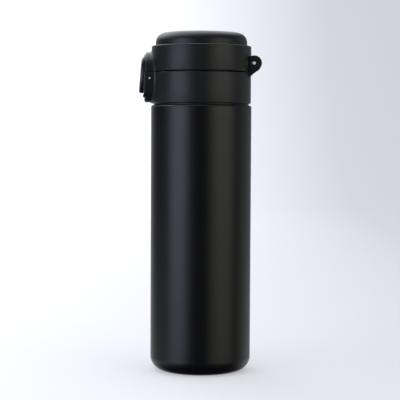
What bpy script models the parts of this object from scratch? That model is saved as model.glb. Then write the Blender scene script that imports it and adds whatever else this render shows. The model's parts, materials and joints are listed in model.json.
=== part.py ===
"""Vacuum flask with a push-button flip lid: a double-walled steel bottle and a screw-on cap.

Metres, +Z up. The origin is the centre of the foot. The hinge is at +X and the button at -X.
"""

from math import cos, pi, radians, sin

import bmesh
import bpy
from mathutils import Vector

MM = 0.001
GAP = 0.3 * MM  # between two pieces that touch on the real flask
ROUND_STEPS = 32
SMALL_STEPS = 16
EAR_STEPS = 28

# Where cutters end, clear of the whole flask
CUT_FRONT_X = -45.0 * MM
CUT_SIDE_X = -20.0 * MM
CUT_HALF_Y = 20.0 * MM
CUT_LOW_Z = 170.0 * MM
CUT_INNER_Z = 190.0 * MM
CUT_HIGH_Z = 230.0 * MM

# Steel bottle
BODY_R = 33.0 * MM
FOOT_ROUND = 9.3 * MM
FOOT_INNER_R = 21.2 * MM
SHOULDER_Z = 174.7 * MM
SHOULDER_ROUND = 1.2 * MM
SHELL_WALL = 0.5 * MM
NECK_R = 27.4 * MM
LIP_Z = 190.0 * MM
RECESS_R = 20.6 * MM
RECESS_Z = 3.0 * MM
BOTTOM_Z = 2.0 * MM
BOTTOM_RISE = 1.3 * MM
LINER_R = 30.3 * MM
LINER_WALL = 0.4 * MM
LINER_FLOOR_Z = 8.0 * MM
LINER_ROUND = 8.0 * MM
LINER_SHOULDER_Z = 168.0 * MM
LINER_NECK_Z = 173.4 * MM
LIP_FOLD = 0.8 * MM
MOUTH_R = 25.6 * MM
FOIL_LOW = 18.0 * MM
FOIL_TOP = 166.0 * MM

# Screw thread between the neck and the cap
THREAD_PITCH = 4.0 * MM
THREAD_TURNS = 1.4
THREAD_Z = 180.0 * MM
THREAD_HEIGHT = 1.0 * MM
THREAD_BASE = 1.5 * MM
THREAD_CREST = 0.8 * MM

# Cap
COLLAR_R = 32.6 * MM
COLLAR_WALL = 1.9 * MM
COLLAR_LOW = 175.85 * MM
COLLAR_TOP = 196.0 * MM
COLLAR_HOLE_R = 26.0 * MM
PLATE = 2.4 * MM
THREAD_BORE_R = 28.9 * MM
SPOUT_BORE_R = 16.5 * MM
SPOUT_R = 19.6 * MM
SPOUT_TOP = 204.0 * MM
SPOUT_RIM = 1.5 * MM
PLUG_R = 24.8 * MM
PLUG_BORE_R = 21.2 * MM
PLUG_LOW = 182.2 * MM
GROOVE_LOW = 184.1 * MM
GROOVE_TOP = 187.9 * MM
GROOVE_DEPTH = 1.7 * MM

# Cover
COVER_R = 32.7 * MM
COVER_WALL = 2.1 * MM
COVER_LOW = 196.7 * MM
LEDGE_Z = 213.4 * MM
DECK_LOW = 207.8 * MM
DECK_TOP = 210.3 * MM
DOME_R = 30.2 * MM
DOME_TOP = 222.9 * MM
DOME_ROUND = 6.4 * MM
DOME_CROWN = 0.8 * MM
DOME_WALL = 1.8 * MM
LINER_DISC_R = 26.2 * MM
STEM_R = 14.2 * MM
STEM_LOW = 201.6 * MM
SCREW_CIRCLE_R = 22.8 * MM
SCREW_COUNT = 4
SCREW_LOW = 204.8 * MM
SCREW_R = 0.9 * MM
SCREW_HEAD_R = 2.1 * MM

# Hinge
HINGE_X = 34.3 * MM
HINGE_Z = 202.2 * MM
EAR_R = 5.0 * MM
EAR_RECESS_R = 2.0 * MM
EAR_RECESS_DEPTH = 0.9 * MM
KNUCKLE_R = 4.6 * MM
KNUCKLE_ROOM_R = 5.45 * MM
HINGE_PIN_R = 1.1 * MM
HINGE_HALF = 11.0 * MM
EAR_INNER = 7.4 * MM
KNUCKLE_INNER = 4.0 * MM
WEB_OUTLINE = (
    (-6.3, -12.2), (-3.4, -9.4), (-2.1, -8.3), (2.2, -4.7), (3.5, -4.1), (4.7, -1.6), (0.0, 0.0), (-6.3, 0.0),
)  # (x, z) in millimetres from the hinge axis: the bracket that carries the ears
COIL_ROOM_R = 3.0 * MM
SPRING_COIL_R = 1.9 * MM
SPRING_WIRE_R = 0.35 * MM
SPRING_HALF = 3.2 * MM
SPRING_TURNS = 5
SPRING_LEG_TOP = 6.6 * MM
SPRING_LEG_LOW = 2.9 * MM

# Latch: an oval boss split by the lid's seam, a rocking button and a lock bail
BOSS_Z = 193.0 * MM
BOSS_HALF_W = 13.5 * MM
BOSS_HALF_H = 16.5 * MM
BOSS_FRONT_LOWER = -37.4 * MM
BOSS_FRONT_UPPER = -36.6 * MM
BOSS_BACK = -26.0 * MM
BOSS_ROUND = 1.2 * MM
OVAL_POWER = 2.3
SEAT_X = -36.1 * MM
POCKET_FLOOR_X = -31.8 * MM
PAD_Z = 194.3 * MM
PAD_HALF_W = 7.2 * MM
PAD_HALF_H = 11.8 * MM
PAD_BACK_X = -38.0 * MM
PAD_FRONT_X = -40.2 * MM
PAD_SLOPE = 0.08
PAD_ROUND = 1.5 * MM
PAD_BOW = 0.5 * MM
PIVOT_X = -33.6 * MM
PIVOT_Z = 192.1 * MM
PIVOT_PIN_R = 0.75 * MM
PIN_ROOM = 0.2 * MM
BARREL_R = 1.5 * MM
BARREL_HALF = 6.6 * MM
RETURN_SPRING_Z = 185.9 * MM
RETURN_SPRING_R = 1.6 * MM
RETURN_SPRING_TURNS = 4
HOOK_LOW = 200.2 * MM
HOOK_TIP_X = -35.2 * MM
HOOK_HALF_W = 3.0 * MM
HOOK_HEIGHT = 3.0 * MM
BAIL_X = -37.0 * MM
BAIL_PIVOT_Z = 180.6 * MM
BAIL_ARCH_Z = 196.0 * MM
BAIL_HALF_W = 9.2 * MM
BAIL_TOP = 208.0 * MM
BAIL_WIDTH = 1.4 * MM
BAIL_EYE_R = 1.35 * MM
BAIL_PIN_R = 0.45 * MM
BAIL_PIN_ROOM = 0.17 * MM
LIP_HALF_W = 3.0 * MM

MATERIALS = {
    "body_coating": ((0.020, 0.021, 0.023), 0.42, 0.0),
    "lid_plastic": ((0.026, 0.027, 0.030), 0.50, 0.0),
    "button_plastic": ((0.022, 0.023, 0.025), 0.45, 0.0),
    "brushed_steel": ((0.62, 0.62, 0.61), 0.30, 1.0),
    "pin_steel": ((0.75, 0.75, 0.74), 0.20, 1.0),
    "spring_steel": ((0.45, 0.45, 0.46), 0.30, 1.0),
    "copper_foil": ((0.72, 0.40, 0.26), 0.28, 1.0),
    "seal_silicone": ((0.62, 0.62, 0.60), 0.60, 0.0),
    "spout_plastic": ((0.045, 0.046, 0.050), 0.42, 0.0),
    "foot_rubber": ((0.018, 0.018, 0.019), 0.80, 0.0),
    "solder_glass": ((0.20, 0.20, 0.21), 0.35, 0.0),
    "getter_metal": ((0.32, 0.32, 0.33), 0.55, 1.0),
}


# ---- building blocks ----

def material(name):
    """The Principled material of this name, made once."""
    made = bpy.data.materials.get(name)
    if made is None:
        colour, roughness, metallic = MATERIALS[name]
        made = bpy.data.materials.new(name)
        made.use_nodes = True
        shader = made.node_tree.nodes["Principled BSDF"]
        shader.inputs["Base Color"].default_value = (*colour, 1.0)
        shader.inputs["Roughness"].default_value = roughness
        shader.inputs["Metallic"].default_value = metallic
    return made


def finish(name, bm, finish_name=None, origin=(0.0, 0.0, 0.0)):
    """Turns a bmesh, modelled in world space, into an object whose origin is at the given point."""
    bmesh.ops.recalc_face_normals(bm, faces=bm.faces)
    bmesh.ops.translate(bm, verts=bm.verts, vec=-Vector(origin))
    mesh = bpy.data.meshes.new(name)
    bm.to_mesh(mesh)
    bm.free()
    mesh.shade_smooth()
    mesh.set_sharp_from_angle(angle=radians(32))
    obj = bpy.data.objects.new(name, mesh)
    obj.location = origin
    bpy.context.scene.collection.objects.link(obj)
    if finish_name:
        mesh.materials.append(material(finish_name))
    return obj


def turned(name, outline, finish_name=None, steps=ROUND_STEPS, centre=(0.0, 0.0), origin=(0.0, 0.0, 0.0)):
    """A solid of revolution about a vertical axis. An outline whose ends lie on the axis stays open there."""
    bm = bmesh.new()
    points = [bm.verts.new((centre[0] + r, centre[1], z)) for r, z in outline]
    edges = [bm.edges.new(pair) for pair in zip(points, points[1:])]
    if outline[0][0] > 0.0:
        edges.append(bm.edges.new((points[-1], points[0])))
    bmesh.ops.spin(
        bm, geom=points + edges, cent=(*centre, 0.0), axis=(0.0, 0.0, 1.0),
        angle=2.0 * pi, steps=steps, use_merge=True,
    )
    bmesh.ops.remove_doubles(bm, verts=bm.verts, dist=1e-7)
    return finish(name, bm, finish_name, origin)


def prism(name, outline, low, high, across="y", finish_name=None, origin=(0.0, 0.0, 0.0)):
    """An outline of (x, z), (y, z) or (x, y) points, extruded from low to high along the axis `across`."""
    place = {
        "x": lambda p, d: (d, p[0], p[1]),
        "y": lambda p, d: (p[0], d, p[1]),
        "z": lambda p, d: (p[0], p[1], d),
    }[across]
    bm = bmesh.new()
    face = bm.faces.new([bm.verts.new(place(point, low)) for point in outline])
    moved = bmesh.ops.extrude_face_region(bm, geom=[face])["geom"]
    shift = Vector(place((0.0, 0.0), high - low))
    bmesh.ops.translate(bm, verts=[v for v in moved if isinstance(v, bmesh.types.BMVert)], vec=shift)
    return finish(name, bm, finish_name, origin)


def rod(name, x, z, radius, low, high, finish_name=None, steps=SMALL_STEPS, origin=(0.0, 0.0, 0.0)):
    """A round bar along Y."""
    return prism(name, circle(x, z, radius, steps), low, high, "y", finish_name, origin)


def lofted(name, rings, finish_name=None, origin=(0.0, 0.0, 0.0)):
    """Closed rings of points, bridged one after another and closed at both ends."""
    bm = bmesh.new()
    loops = [[bm.verts.new(point) for point in ring] for ring in rings]
    for near, far in zip(loops, loops[1:]):
        for i, vert in enumerate(near):
            before = i - 1
            bm.faces.new((near[before], vert, far[i], far[before]))
    bm.faces.new(loops[0])
    bm.faces.new(loops[-1])
    return finish(name, bm, finish_name, origin)


def box(name, low, high):
    """A rectangular block, used as a cutter or joined to a piece."""
    outline = [(low[0], low[2]), (high[0], low[2]), (high[0], high[2]), (low[0], high[2])]
    return prism(name, outline, low[1], high[1])


def wire(name, path, radius, finish_name, sides=5):
    """A round wire along a smooth path of points."""
    rings = []
    for i, point in enumerate(path):
        before, after = path[max(i - 1, 0)], path[min(i + 1, len(path) - 1)]
        forward = (after - before).normalized()
        across = forward.cross(Vector((0.31, 0.83, 0.46))).normalized() if i == 0 else across
        across = (across - forward * across.dot(forward)).normalized()
        upward = forward.cross(across)
        angles = [2.0 * pi * side / sides for side in range(sides)]
        rings.append([point + radius * (cos(a) * across + sin(a) * upward) for a in angles])
    return lofted(name, rings, finish_name)


def combine(target, helper, operation):
    """Adds a Boolean with a helper that isn't itself a piece."""
    modifier = target.modifiers.new(f"{operation.lower()}_{helper.name}", "BOOLEAN")
    modifier.object = helper
    modifier.operation = operation
    modifier.solver = "EXACT"
    helper.hide_render = True
    helper.display_type = "WIRE"


def cut(target, *cutters):
    for cutter in cutters:
        combine(target, cutter, "DIFFERENCE")


def join(target, *blocks):
    for block in blocks:
        combine(target, block, "UNION")


# ---- outlines ----

def circle(x, z, radius, steps=SMALL_STEPS):
    return arc(x, z, radius, 0.0, 360.0 * (steps - 1) / steps, steps)


def arc(x, z, radius, start, end, count):
    """Points on an arc, from the start angle to the end angle in degrees."""
    angles = [radians(start + (end - start) * i / (count - 1)) for i in range(count)]
    return [(x + radius * cos(a), z + radius * sin(a)) for a in angles]


def oval(half_w, half_h, z, x, slope=0.0, steps=32):
    """A squarish oval in the plane of Y and Z, at x, which may lean by slope."""
    ring = []
    for i in range(steps):
        angle = 2.0 * pi * i / steps
        side, rise = cos(angle), sin(angle)
        y = half_w * abs(side) ** (2.0 / OVAL_POWER) * (1.0 if side >= 0.0 else -1.0)
        up = half_h * abs(rise) ** (2.0 / OVAL_POWER) * (1.0 if rise >= 0.0 else -1.0)
        ring.append((x + slope * up, y, z + up))
    return ring


def arch(half_w, top, low, steps=16):
    """(y, z) points of a straight-sided shape with an oval top, from one foot round to the other."""
    points = [(half_w, low)]
    for i in range(steps + 1):
        angle = pi * i / steps
        side, rise = cos(angle), sin(angle)
        y = half_w * abs(side) ** (2.0 / OVAL_POWER) * (1.0 if side >= 0.0 else -1.0)
        points.append((y, BAIL_ARCH_Z + (top - BAIL_ARCH_Z) * rise ** (2.0 / OVAL_POWER)))
    points.append((-half_w, low))
    return points


def thread_ridge(name, wall_r, crest_r, start_z, start_angle):
    """A helical ridge that rises out of a wall and sinks back into it at both ends."""
    sink = 0.35 * MM if crest_r > wall_r else -0.35 * MM
    steps = round(THREAD_TURNS * ROUND_STEPS)
    fade = ROUND_STEPS / 10
    rings = []
    for i in range(steps + 1):
        angle = start_angle + 2.0 * pi * i / ROUND_STEPS
        z = start_z + THREAD_PITCH * i / ROUND_STEPS
        grown = min(1.0, i / fade, (steps - i) / fade)
        crest = wall_r - 0.4 * sink + (crest_r - wall_r + 0.4 * sink) * grown
        section = [
            (wall_r - sink, -THREAD_BASE / 2), (crest, -THREAD_CREST / 2),
            (crest, THREAD_CREST / 2), (wall_r - sink, THREAD_BASE / 2),
        ]
        rings.append([(r * cos(angle), r * sin(angle), z + rise) for r, rise in section])
    return lofted(name, rings)


# ---- steel bottle ----

def outer_shell():
    inner_r = BODY_R - SHELL_WALL
    foot_r = BODY_R - FOOT_ROUND
    neck_inner = NECK_R - SHELL_WALL
    outline = [(NECK_R, LIP_Z - GAP), (NECK_R, SHOULDER_Z + 0.8 * MM), (NECK_R + 0.8 * MM, SHOULDER_Z)]
    outline += arc(BODY_R - SHOULDER_ROUND, SHOULDER_Z - SHOULDER_ROUND, SHOULDER_ROUND, 90, 0, 4)
    outline += arc(foot_r, FOOT_ROUND, FOOT_ROUND, 0, -90, 6)
    outline += [(FOOT_INNER_R, 0.0), (RECESS_R, 0.6 * MM), (RECESS_R, RECESS_Z)]
    outline += [(RECESS_R + SHELL_WALL, RECESS_Z), (RECESS_R + SHELL_WALL, SHELL_WALL)]
    outline += arc(foot_r, FOOT_ROUND, FOOT_ROUND - SHELL_WALL, -90, 0, 4)
    outline += [(inner_r, SHOULDER_Z - 1.4 * MM), (inner_r - 0.7 * MM, SHOULDER_Z - SHELL_WALL)]
    outline += [(neck_inner, SHOULDER_Z - SHELL_WALL), (neck_inner, LIP_Z - GAP)]
    shell = turned("outer_shell", outline, "body_coating")
    join(shell, thread_ridge("neck_thread", NECK_R, NECK_R + THREAD_HEIGHT, THREAD_Z, 0.0))


def inner_vessel():
    """The liner that holds the drink. Its lip is folded out over the top of the outer shell's neck."""
    inner_r = LINER_R - LINER_WALL
    corner_r, corner_z = LINER_R - LINER_ROUND, LINER_FLOOR_Z + LINER_ROUND
    middle_z = LINER_FLOOR_Z + 0.8 * MM
    neck_r, lip_top = MOUTH_R + 0.6 * MM, LIP_Z + LIP_FOLD
    outline = [(0.0, middle_z)]
    outline += arc(corner_r, corner_z, LINER_ROUND, -90, 0, 4)
    outline += [(LINER_R, LINER_SHOULDER_Z), (neck_r, LINER_NECK_Z), (neck_r, LIP_Z)]
    outline += [(NECK_R, LIP_Z), (NECK_R, lip_top - 0.3 * MM), (NECK_R - 0.4 * MM, lip_top)]
    outline += [(MOUTH_R + 0.3 * MM, lip_top), (MOUTH_R, lip_top - 0.3 * MM)]
    outline += [(MOUTH_R, LINER_NECK_Z - 0.2 * MM)]
    outline += [(inner_r, LINER_SHOULDER_Z - 0.2 * MM)]
    outline += arc(corner_r, corner_z, LINER_ROUND - LINER_WALL, 0, -90, 4)
    outline += [(0.0, middle_z + LINER_WALL)]
    turned("inner_vessel", outline, "brushed_steel")


def shell_bottom():
    """The disc welded into the foot, with the raised centre where the flask is evacuated and sealed."""
    edge_r = RECESS_R - GAP
    top = BOTTOM_Z + SHELL_WALL
    port_r = 0.7 * MM
    outline = [(port_r, BOTTOM_Z + BOTTOM_RISE), (3.4 * MM, BOTTOM_Z + BOTTOM_RISE), (4.2 * MM, BOTTOM_Z)]
    outline += [(edge_r, BOTTOM_Z), (edge_r, top), (4.6 * MM, top), (3.9 * MM, top + BOTTOM_RISE)]
    outline += [(port_r, top + BOTTOM_RISE)]
    turned("shell_bottom", outline, "brushed_steel")


def base_cap():
    edge_r = RECESS_R - 0.4 * MM
    low, high = 0.4 * MM, BOTTOM_Z - GAP
    outline = [(0.0, low), (edge_r - 0.4 * MM, low), (edge_r, low + 0.4 * MM), (edge_r, high), (0.0, high)]
    turned("base_cap", outline, "foot_rubber")


def vacuum_parts():
    """What the evacuated space holds: the sealing bead, the getter and the foil round the liner."""
    bead = [(0.0, 2.1), (1.8, 2.2), (2.7, 2.6), (2.3, 3.0), (0.0, 3.0)]
    turned("vacuum_seal", [(r * MM, z * MM) for r, z in bead], "solder_glass", SMALL_STEPS)
    pill = [(0.0, 3.0), (3.6, 3.0), (4.0, 3.4), (4.0, 4.8), (3.6, 5.2), (0.0, 5.2)]
    turned("getter", [(r * MM, z * MM) for r, z in pill], "getter_metal", SMALL_STEPS, (11.0 * MM, 0.0))
    inner_r = LINER_R + 0.4 * MM
    outer_r = inner_r + 0.2 * MM
    foil = [(inner_r, FOIL_LOW), (outer_r, FOIL_LOW), (outer_r, FOIL_TOP), (inner_r, FOIL_TOP)]
    turned("radiation_shield", foil, "copper_foil")


# ---- cap ----

def boss(name, front_x):
    """The oval that stands out of the cap's side and carries the button."""
    shoulder_x = front_x + BOSS_ROUND
    rings = [oval(BOSS_HALF_W, BOSS_HALF_H, BOSS_Z, BOSS_BACK)]
    for turn in (0, 30, 60, 90):
        inset = BOSS_ROUND * (1.0 - cos(radians(turn)))
        x = shoulder_x - BOSS_ROUND * sin(radians(turn))
        rings.append(oval(BOSS_HALF_W - inset, BOSS_HALF_H - inset, BOSS_Z, x))
    return lofted(name, rings)


def bail_seat(name):
    """The shallow recess that the lock bail lies in, cut into both halves of the boss."""
    outline = arch(BAIL_HALF_W + 0.4 * MM, BAIL_TOP + 0.4 * MM, BAIL_PIVOT_Z - 1.5 * MM)
    return prism(name, outline, CUT_FRONT_X, SEAT_X, "x")


def both_sides(name, x, z, radius, inner, outer, steps=SMALL_STEPS):
    """Two round bars along Y, mirrored about the middle."""
    return [
        rod(f"{name}_{side}", x, z, radius, low, high, None, steps)
        for side, low, high in (("front", -outer, -inner), ("back", inner, outer))
    ]


def collar():
    outline = [(0.0, COLLAR_LOW), (COLLAR_R - 0.6 * MM, COLLAR_LOW), (COLLAR_R, COLLAR_LOW + 0.6 * MM)]
    outline += [(COLLAR_R, COLLAR_TOP - 0.4 * MM), (COLLAR_R - 0.4 * MM, COLLAR_TOP), (0.0, COLLAR_TOP)]
    ring = turned("collar", outline, "lid_plastic")
    web = [(HINGE_X + x * MM, HINGE_Z + z * MM) for x, z in WEB_OUTLINE]
    join(ring, prism("hinge_web", web, -HINGE_HALF, HINGE_HALF))
    join(ring, *both_sides("ear", HINGE_X, HINGE_Z, EAR_R, EAR_INNER, HINGE_HALF, EAR_STEPS))
    join(ring, boss("lower_boss", BOSS_FRONT_LOWER))
    bore_r = COLLAR_R - COLLAR_WALL
    plate_low = COLLAR_TOP - PLATE
    bore = [(0.0, CUT_LOW_Z), (bore_r, CUT_LOW_Z), (bore_r, plate_low), (COLLAR_HOLE_R, plate_low)]
    bore += [(COLLAR_HOLE_R, CUT_HIGH_Z), (0.0, CUT_HIGH_Z)]
    cut(ring, turned("collar_bore", bore))
    room_r = COVER_R + 0.35 * MM
    room = [(0.0, COLLAR_TOP), (room_r, COLLAR_TOP), (room_r, CUT_HIGH_Z), (0.0, CUT_HIGH_Z)]
    cut(ring, turned("cover_room", room))
    cut(ring, box("above_boss", (CUT_FRONT_X, -CUT_HALF_Y, COLLAR_TOP), (CUT_SIDE_X, CUT_HALF_Y, CUT_HIGH_Z)))
    cut(ring, rod("knuckle_room", HINGE_X, HINGE_Z, KNUCKLE_ROOM_R, -EAR_INNER, EAR_INNER, None, EAR_STEPS))
    cut(ring, rod("ear_holes", HINGE_X, HINGE_Z, HINGE_PIN_R + 0.25 * MM, -CUT_HALF_Y, CUT_HALF_Y))
    recess_y = HINGE_HALF - EAR_RECESS_DEPTH
    cut(ring, *both_sides("ear_recess", HINGE_X, HINGE_Z, EAR_RECESS_R, recess_y, CUT_HALF_Y))
    cut(ring, bail_seat("lower_seat"))
    pocket = oval(PAD_HALF_W + 0.5 * MM, PAD_HALF_H + 0.6 * MM, PAD_Z, 0.0)
    cut(ring, prism("pocket", [(y, z) for _, y, z in pocket], CUT_FRONT_X, POCKET_FLOOR_X, "x"))
    eye_inner = BAIL_HALF_W - BAIL_WIDTH
    barrel_half = eye_inner - 0.4 * MM
    room_r, room_half = BAIL_EYE_R + 0.4 * MM, BAIL_HALF_W + 2.0 * MM
    join(ring, rod("bail_barrel", BAIL_X, BAIL_PIVOT_Z, BAIL_EYE_R, -barrel_half, barrel_half))
    cut(ring, *both_sides("eye_room", BAIL_X, BAIL_PIVOT_Z, room_r, barrel_half, room_half))
    hole_r = BAIL_PIN_R + BAIL_PIN_ROOM
    cut(ring, rod("bail_hole", BAIL_X, BAIL_PIVOT_Z, hole_r, -CUT_HALF_Y, CUT_HALF_Y, None, 12))
    cut(ring, rod("pivot_holes", PIVOT_X, PIVOT_Z, PIVOT_PIN_R + PIN_ROOM, -CUT_HALF_Y, CUT_HALF_Y))


def thread_ring():
    """The screw ring: its foot shows as a dark line between the collar and the body's shoulder."""
    outer_r, foot_r = COLLAR_R - COLLAR_WALL - GAP, COLLAR_R - 1.2 * MM
    low, high = SHOULDER_Z + GAP, COLLAR_TOP - PLATE - GAP
    foot_top = COLLAR_LOW - GAP
    outline = [(THREAD_BORE_R, low), (foot_r, low), (foot_r, foot_top), (outer_r, foot_top)]
    outline += [(outer_r, high), (THREAD_BORE_R, high)]
    ring = turned("thread_ring", outline, "spout_plastic")
    crest_r = THREAD_BORE_R - THREAD_HEIGHT
    join(ring, thread_ridge("ring_thread", THREAD_BORE_R, crest_r, THREAD_Z - THREAD_PITCH / 2, pi / 3))


def spout():
    """The drinking spout, with the plug that goes down into the neck and carries the gasket."""
    flange_low = LIP_Z + 1.2 * MM
    flange_top = COLLAR_TOP - PLATE - GAP
    flange_r = THREAD_BORE_R - 1.2 * MM
    base_r = COLLAR_HOLE_R - 0.4 * MM
    groove_r = PLUG_R - GROOVE_DEPTH
    outline = [(SPOUT_BORE_R, SPOUT_TOP - 1.2 * MM)]
    outline += arc(SPOUT_BORE_R + 1.55 * MM, SPOUT_TOP - SPOUT_RIM, SPOUT_RIM, 165, 15, 5)
    outline += [(SPOUT_R, SPOUT_TOP - 3.4 * MM), (SPOUT_R + 0.8 * MM, SPOUT_TOP - 4.4 * MM)]
    outline += [(base_r - 1.2 * MM, SPOUT_TOP - 5.4 * MM), (base_r, SPOUT_TOP - 6.8 * MM), (base_r, flange_top)]
    outline += [(flange_r, flange_top), (flange_r, flange_low), (PLUG_R, flange_low), (PLUG_R, GROOVE_TOP)]
    outline += [(groove_r, GROOVE_TOP), (groove_r, GROOVE_LOW), (PLUG_R, GROOVE_LOW)]
    outline += [(PLUG_R, PLUG_LOW + 0.6 * MM), (PLUG_R - 0.6 * MM, PLUG_LOW), (PLUG_BORE_R, PLUG_LOW)]
    outline += [(PLUG_BORE_R, 194.0 * MM), (SPOUT_BORE_R, 197.6 * MM)]
    turned("spout", outline, "spout_plastic")


def neck_gasket():
    """A lipped ring in the plug's groove. It seals against the bore of the neck."""
    inner, outer = PLUG_R - 1.4 * MM, MOUTH_R - 0.35 * MM
    web = outer - 0.9 * MM
    middle = (GROOVE_LOW + GROOVE_TOP) / 2
    side = [(web, 0.2), (outer, 0.6), (outer, 1.1), (web, 1.6), (inner, 1.6)]
    outline = [(r, middle - rise * MM) for r, rise in side[::-1]]
    outline += [(r, middle + rise * MM) for r, rise in side]
    turned("neck_gasket", outline, "seal_silicone")


# ---- cover ----

def cover_shell():
    edge = LEDGE_Z - 0.8 * MM
    outline = [(0.0, COVER_LOW), (COVER_R - 0.4 * MM, COVER_LOW), (COVER_R, COVER_LOW + 0.4 * MM)]
    outline += [(COVER_R, edge), (COVER_R - 0.25 * MM, LEDGE_Z - 0.25 * MM), (COVER_R - 0.8 * MM, LEDGE_Z)]
    shell = turned("cover_shell", outline + [(0.0, LEDGE_Z)], "lid_plastic")
    join(shell, boss("upper_boss", BOSS_FRONT_UPPER))
    bore_r, seat_r = COVER_R - COVER_WALL, DOME_R + GAP
    bore = [(0.0, CUT_INNER_Z), (bore_r, CUT_INNER_Z), (bore_r, DECK_LOW), (0.0, DECK_LOW)]
    cut(shell, turned("cover_bore", bore))
    seat = [(0.0, DECK_TOP), (seat_r, DECK_TOP), (seat_r, CUT_HIGH_Z), (0.0, CUT_HIGH_Z)]
    cut(shell, turned("dome_seat", seat))
    cut(shell, box("below_boss", (CUT_FRONT_X, -CUT_HALF_Y, CUT_LOW_Z), (CUT_SIDE_X, CUT_HALF_Y, COVER_LOW)))
    backing = arc(0.0, 0.0, COVER_R - 1.0 * MM, -23, 23, 7) + [(27.4 * MM, 12.0 * MM), (27.4 * MM, -12.0 * MM)]
    join(shell, prism("hinge_backing", backing, COVER_LOW, DECK_LOW + MM, "z"))
    join(shell, *both_sides("knuckle", HINGE_X, HINGE_Z, KNUCKLE_R, KNUCKLE_INNER, EAR_INNER - GAP, EAR_STEPS))
    room_r, room_half = EAR_R + 0.4 * MM, HINGE_HALF + 0.4 * MM
    cut(shell, *both_sides("ear_room", HINGE_X, HINGE_Z, room_r, EAR_INNER - GAP, room_half, EAR_STEPS))
    cut(shell, rod("coil_room", HINGE_X, HINGE_Z, COIL_ROOM_R, -KNUCKLE_INNER, KNUCKLE_INNER))
    leg_x = HINGE_X - SPRING_COIL_R - 0.7 * MM
    leg_top = HINGE_Z + SPRING_LEG_TOP + 0.8 * MM
    cut(shell, box("leg_slot", (leg_x, -KNUCKLE_INNER, HINGE_Z), (HINGE_X, -1.6 * MM, leg_top)))
    cut(shell, rod("knuckle_holes", HINGE_X, HINGE_Z, HINGE_PIN_R + 0.25 * MM, -CUT_HALF_Y, CUT_HALF_Y))
    cut(shell, bail_seat("upper_seat"))
    window_half, window_back = HOOK_HALF_W + 0.5 * MM, HOOK_TIP_X + 1.6 * MM
    window_top = HOOK_LOW + HOOK_HEIGHT + 0.4 * MM
    cut(shell, box("hook_window", (CUT_FRONT_X, -window_half, HOOK_LOW - GAP),
                   (window_back, window_half, window_top)))
    notch_half, notch_back = LIP_HALF_W + 0.4 * MM, SEAT_X + 0.9 * MM
    cut(shell, box("lock_notch", (CUT_FRONT_X, -notch_half, BAIL_TOP - 1.5 * MM),
                   (notch_back, notch_half, BAIL_TOP + 0.1 * MM)))
    hole_r, head_r = SCREW_R + GAP, SCREW_HEAD_R + 0.4 * MM
    head_z = DECK_TOP - 1.5 * MM
    for i, (x, y) in enumerate(screw_places(), 1):
        hole = [(0.0, CUT_INNER_Z), (hole_r, CUT_INNER_Z), (hole_r, head_z), (head_r, head_z)]
        hole += [(head_r, CUT_HIGH_Z), (0.0, CUT_HIGH_Z)]
        cut(shell, turned(f"screw_hole_{i}", hole, None, SMALL_STEPS, (x, y)))


def screw_places():
    angles = [2.0 * pi * (i + 0.5) / SCREW_COUNT for i in range(SCREW_COUNT)]
    return [(SCREW_CIRCLE_R * cos(a), SCREW_CIRCLE_R * sin(a)) for a in angles]


def cover_dome():
    """The crowned cap on top of the cover, let into the ring."""
    round_r = DOME_R - 0.2 * MM - DOME_ROUND
    round_z = DOME_TOP - DOME_CROWN - DOME_ROUND
    foot_z = DECK_TOP + GAP
    inner_r = DOME_R - DOME_WALL
    outline = [(0.0, DOME_TOP), (round_r * 0.5, DOME_TOP - DOME_CROWN * 0.22)]
    outline += arc(round_r, round_z, DOME_ROUND, 86, 0, 6)
    outline += [(DOME_R, LEDGE_Z), (DOME_R, foot_z), (inner_r, foot_z), (inner_r, LEDGE_Z)]
    outline += arc(round_r, round_z, DOME_ROUND - DOME_WALL, 0, 86, 4)
    outline += [(0.0, DOME_TOP - DOME_WALL)]
    turned("cover_dome", outline, "lid_plastic")


def cover_liner():
    """The inside of the cover: a disc with the stem that carries the seal."""
    low, high = DECK_LOW - 2.0 * MM, DECK_LOW - GAP
    lip_r, lip_top = STEM_R + 1.1 * MM, STEM_LOW + 0.8 * MM
    outline = [(0.0, STEM_LOW), (lip_r, STEM_LOW), (lip_r, lip_top), (STEM_R, lip_top)]
    outline += [(STEM_R, low), (LINER_DISC_R, low), (LINER_DISC_R, high), (0.0, high)]
    liner = turned("cover_liner", outline, "lid_plastic")
    stub_r, stub_low, stub_high = 2.4 * MM, SCREW_LOW - 1.4 * MM, high - 0.6 * MM
    hole_r, hole_low = SCREW_R + GAP, SCREW_LOW - 0.4 * MM
    for i, (x, y) in enumerate(screw_places(), 1):
        stub = [(0.0, stub_low), (stub_r, stub_low), (stub_r, stub_high), (0.0, stub_high)]
        join(liner, turned(f"stub_{i}", stub, None, SMALL_STEPS, (x, y)))
        hole = [(0.0, hole_low), (hole_r, hole_low), (hole_r, CUT_HIGH_Z), (0.0, CUT_HIGH_Z)]
        cut(liner, turned(f"stub_hole_{i}", hole, None, SMALL_STEPS, (x, y)))


def cover_seal():
    """A silicone ring on the stem. It closes the spout's bore and covers its rim."""
    stem_r, plug_r, flange_r = STEM_R + GAP, SPOUT_BORE_R - GAP, SPOUT_R - 0.4 * MM
    low = STEM_LOW + 1.1 * MM
    flange_low, high = SPOUT_TOP + GAP, DECK_LOW - 2.0 * MM - GAP
    outline = [(stem_r, low), (plug_r - 0.5 * MM, low), (plug_r, low + 0.5 * MM), (plug_r, flange_low)]
    outline += [(flange_r, flange_low), (flange_r, high), (stem_r, high)]
    turned("cover_seal", outline, "seal_silicone")


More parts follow.
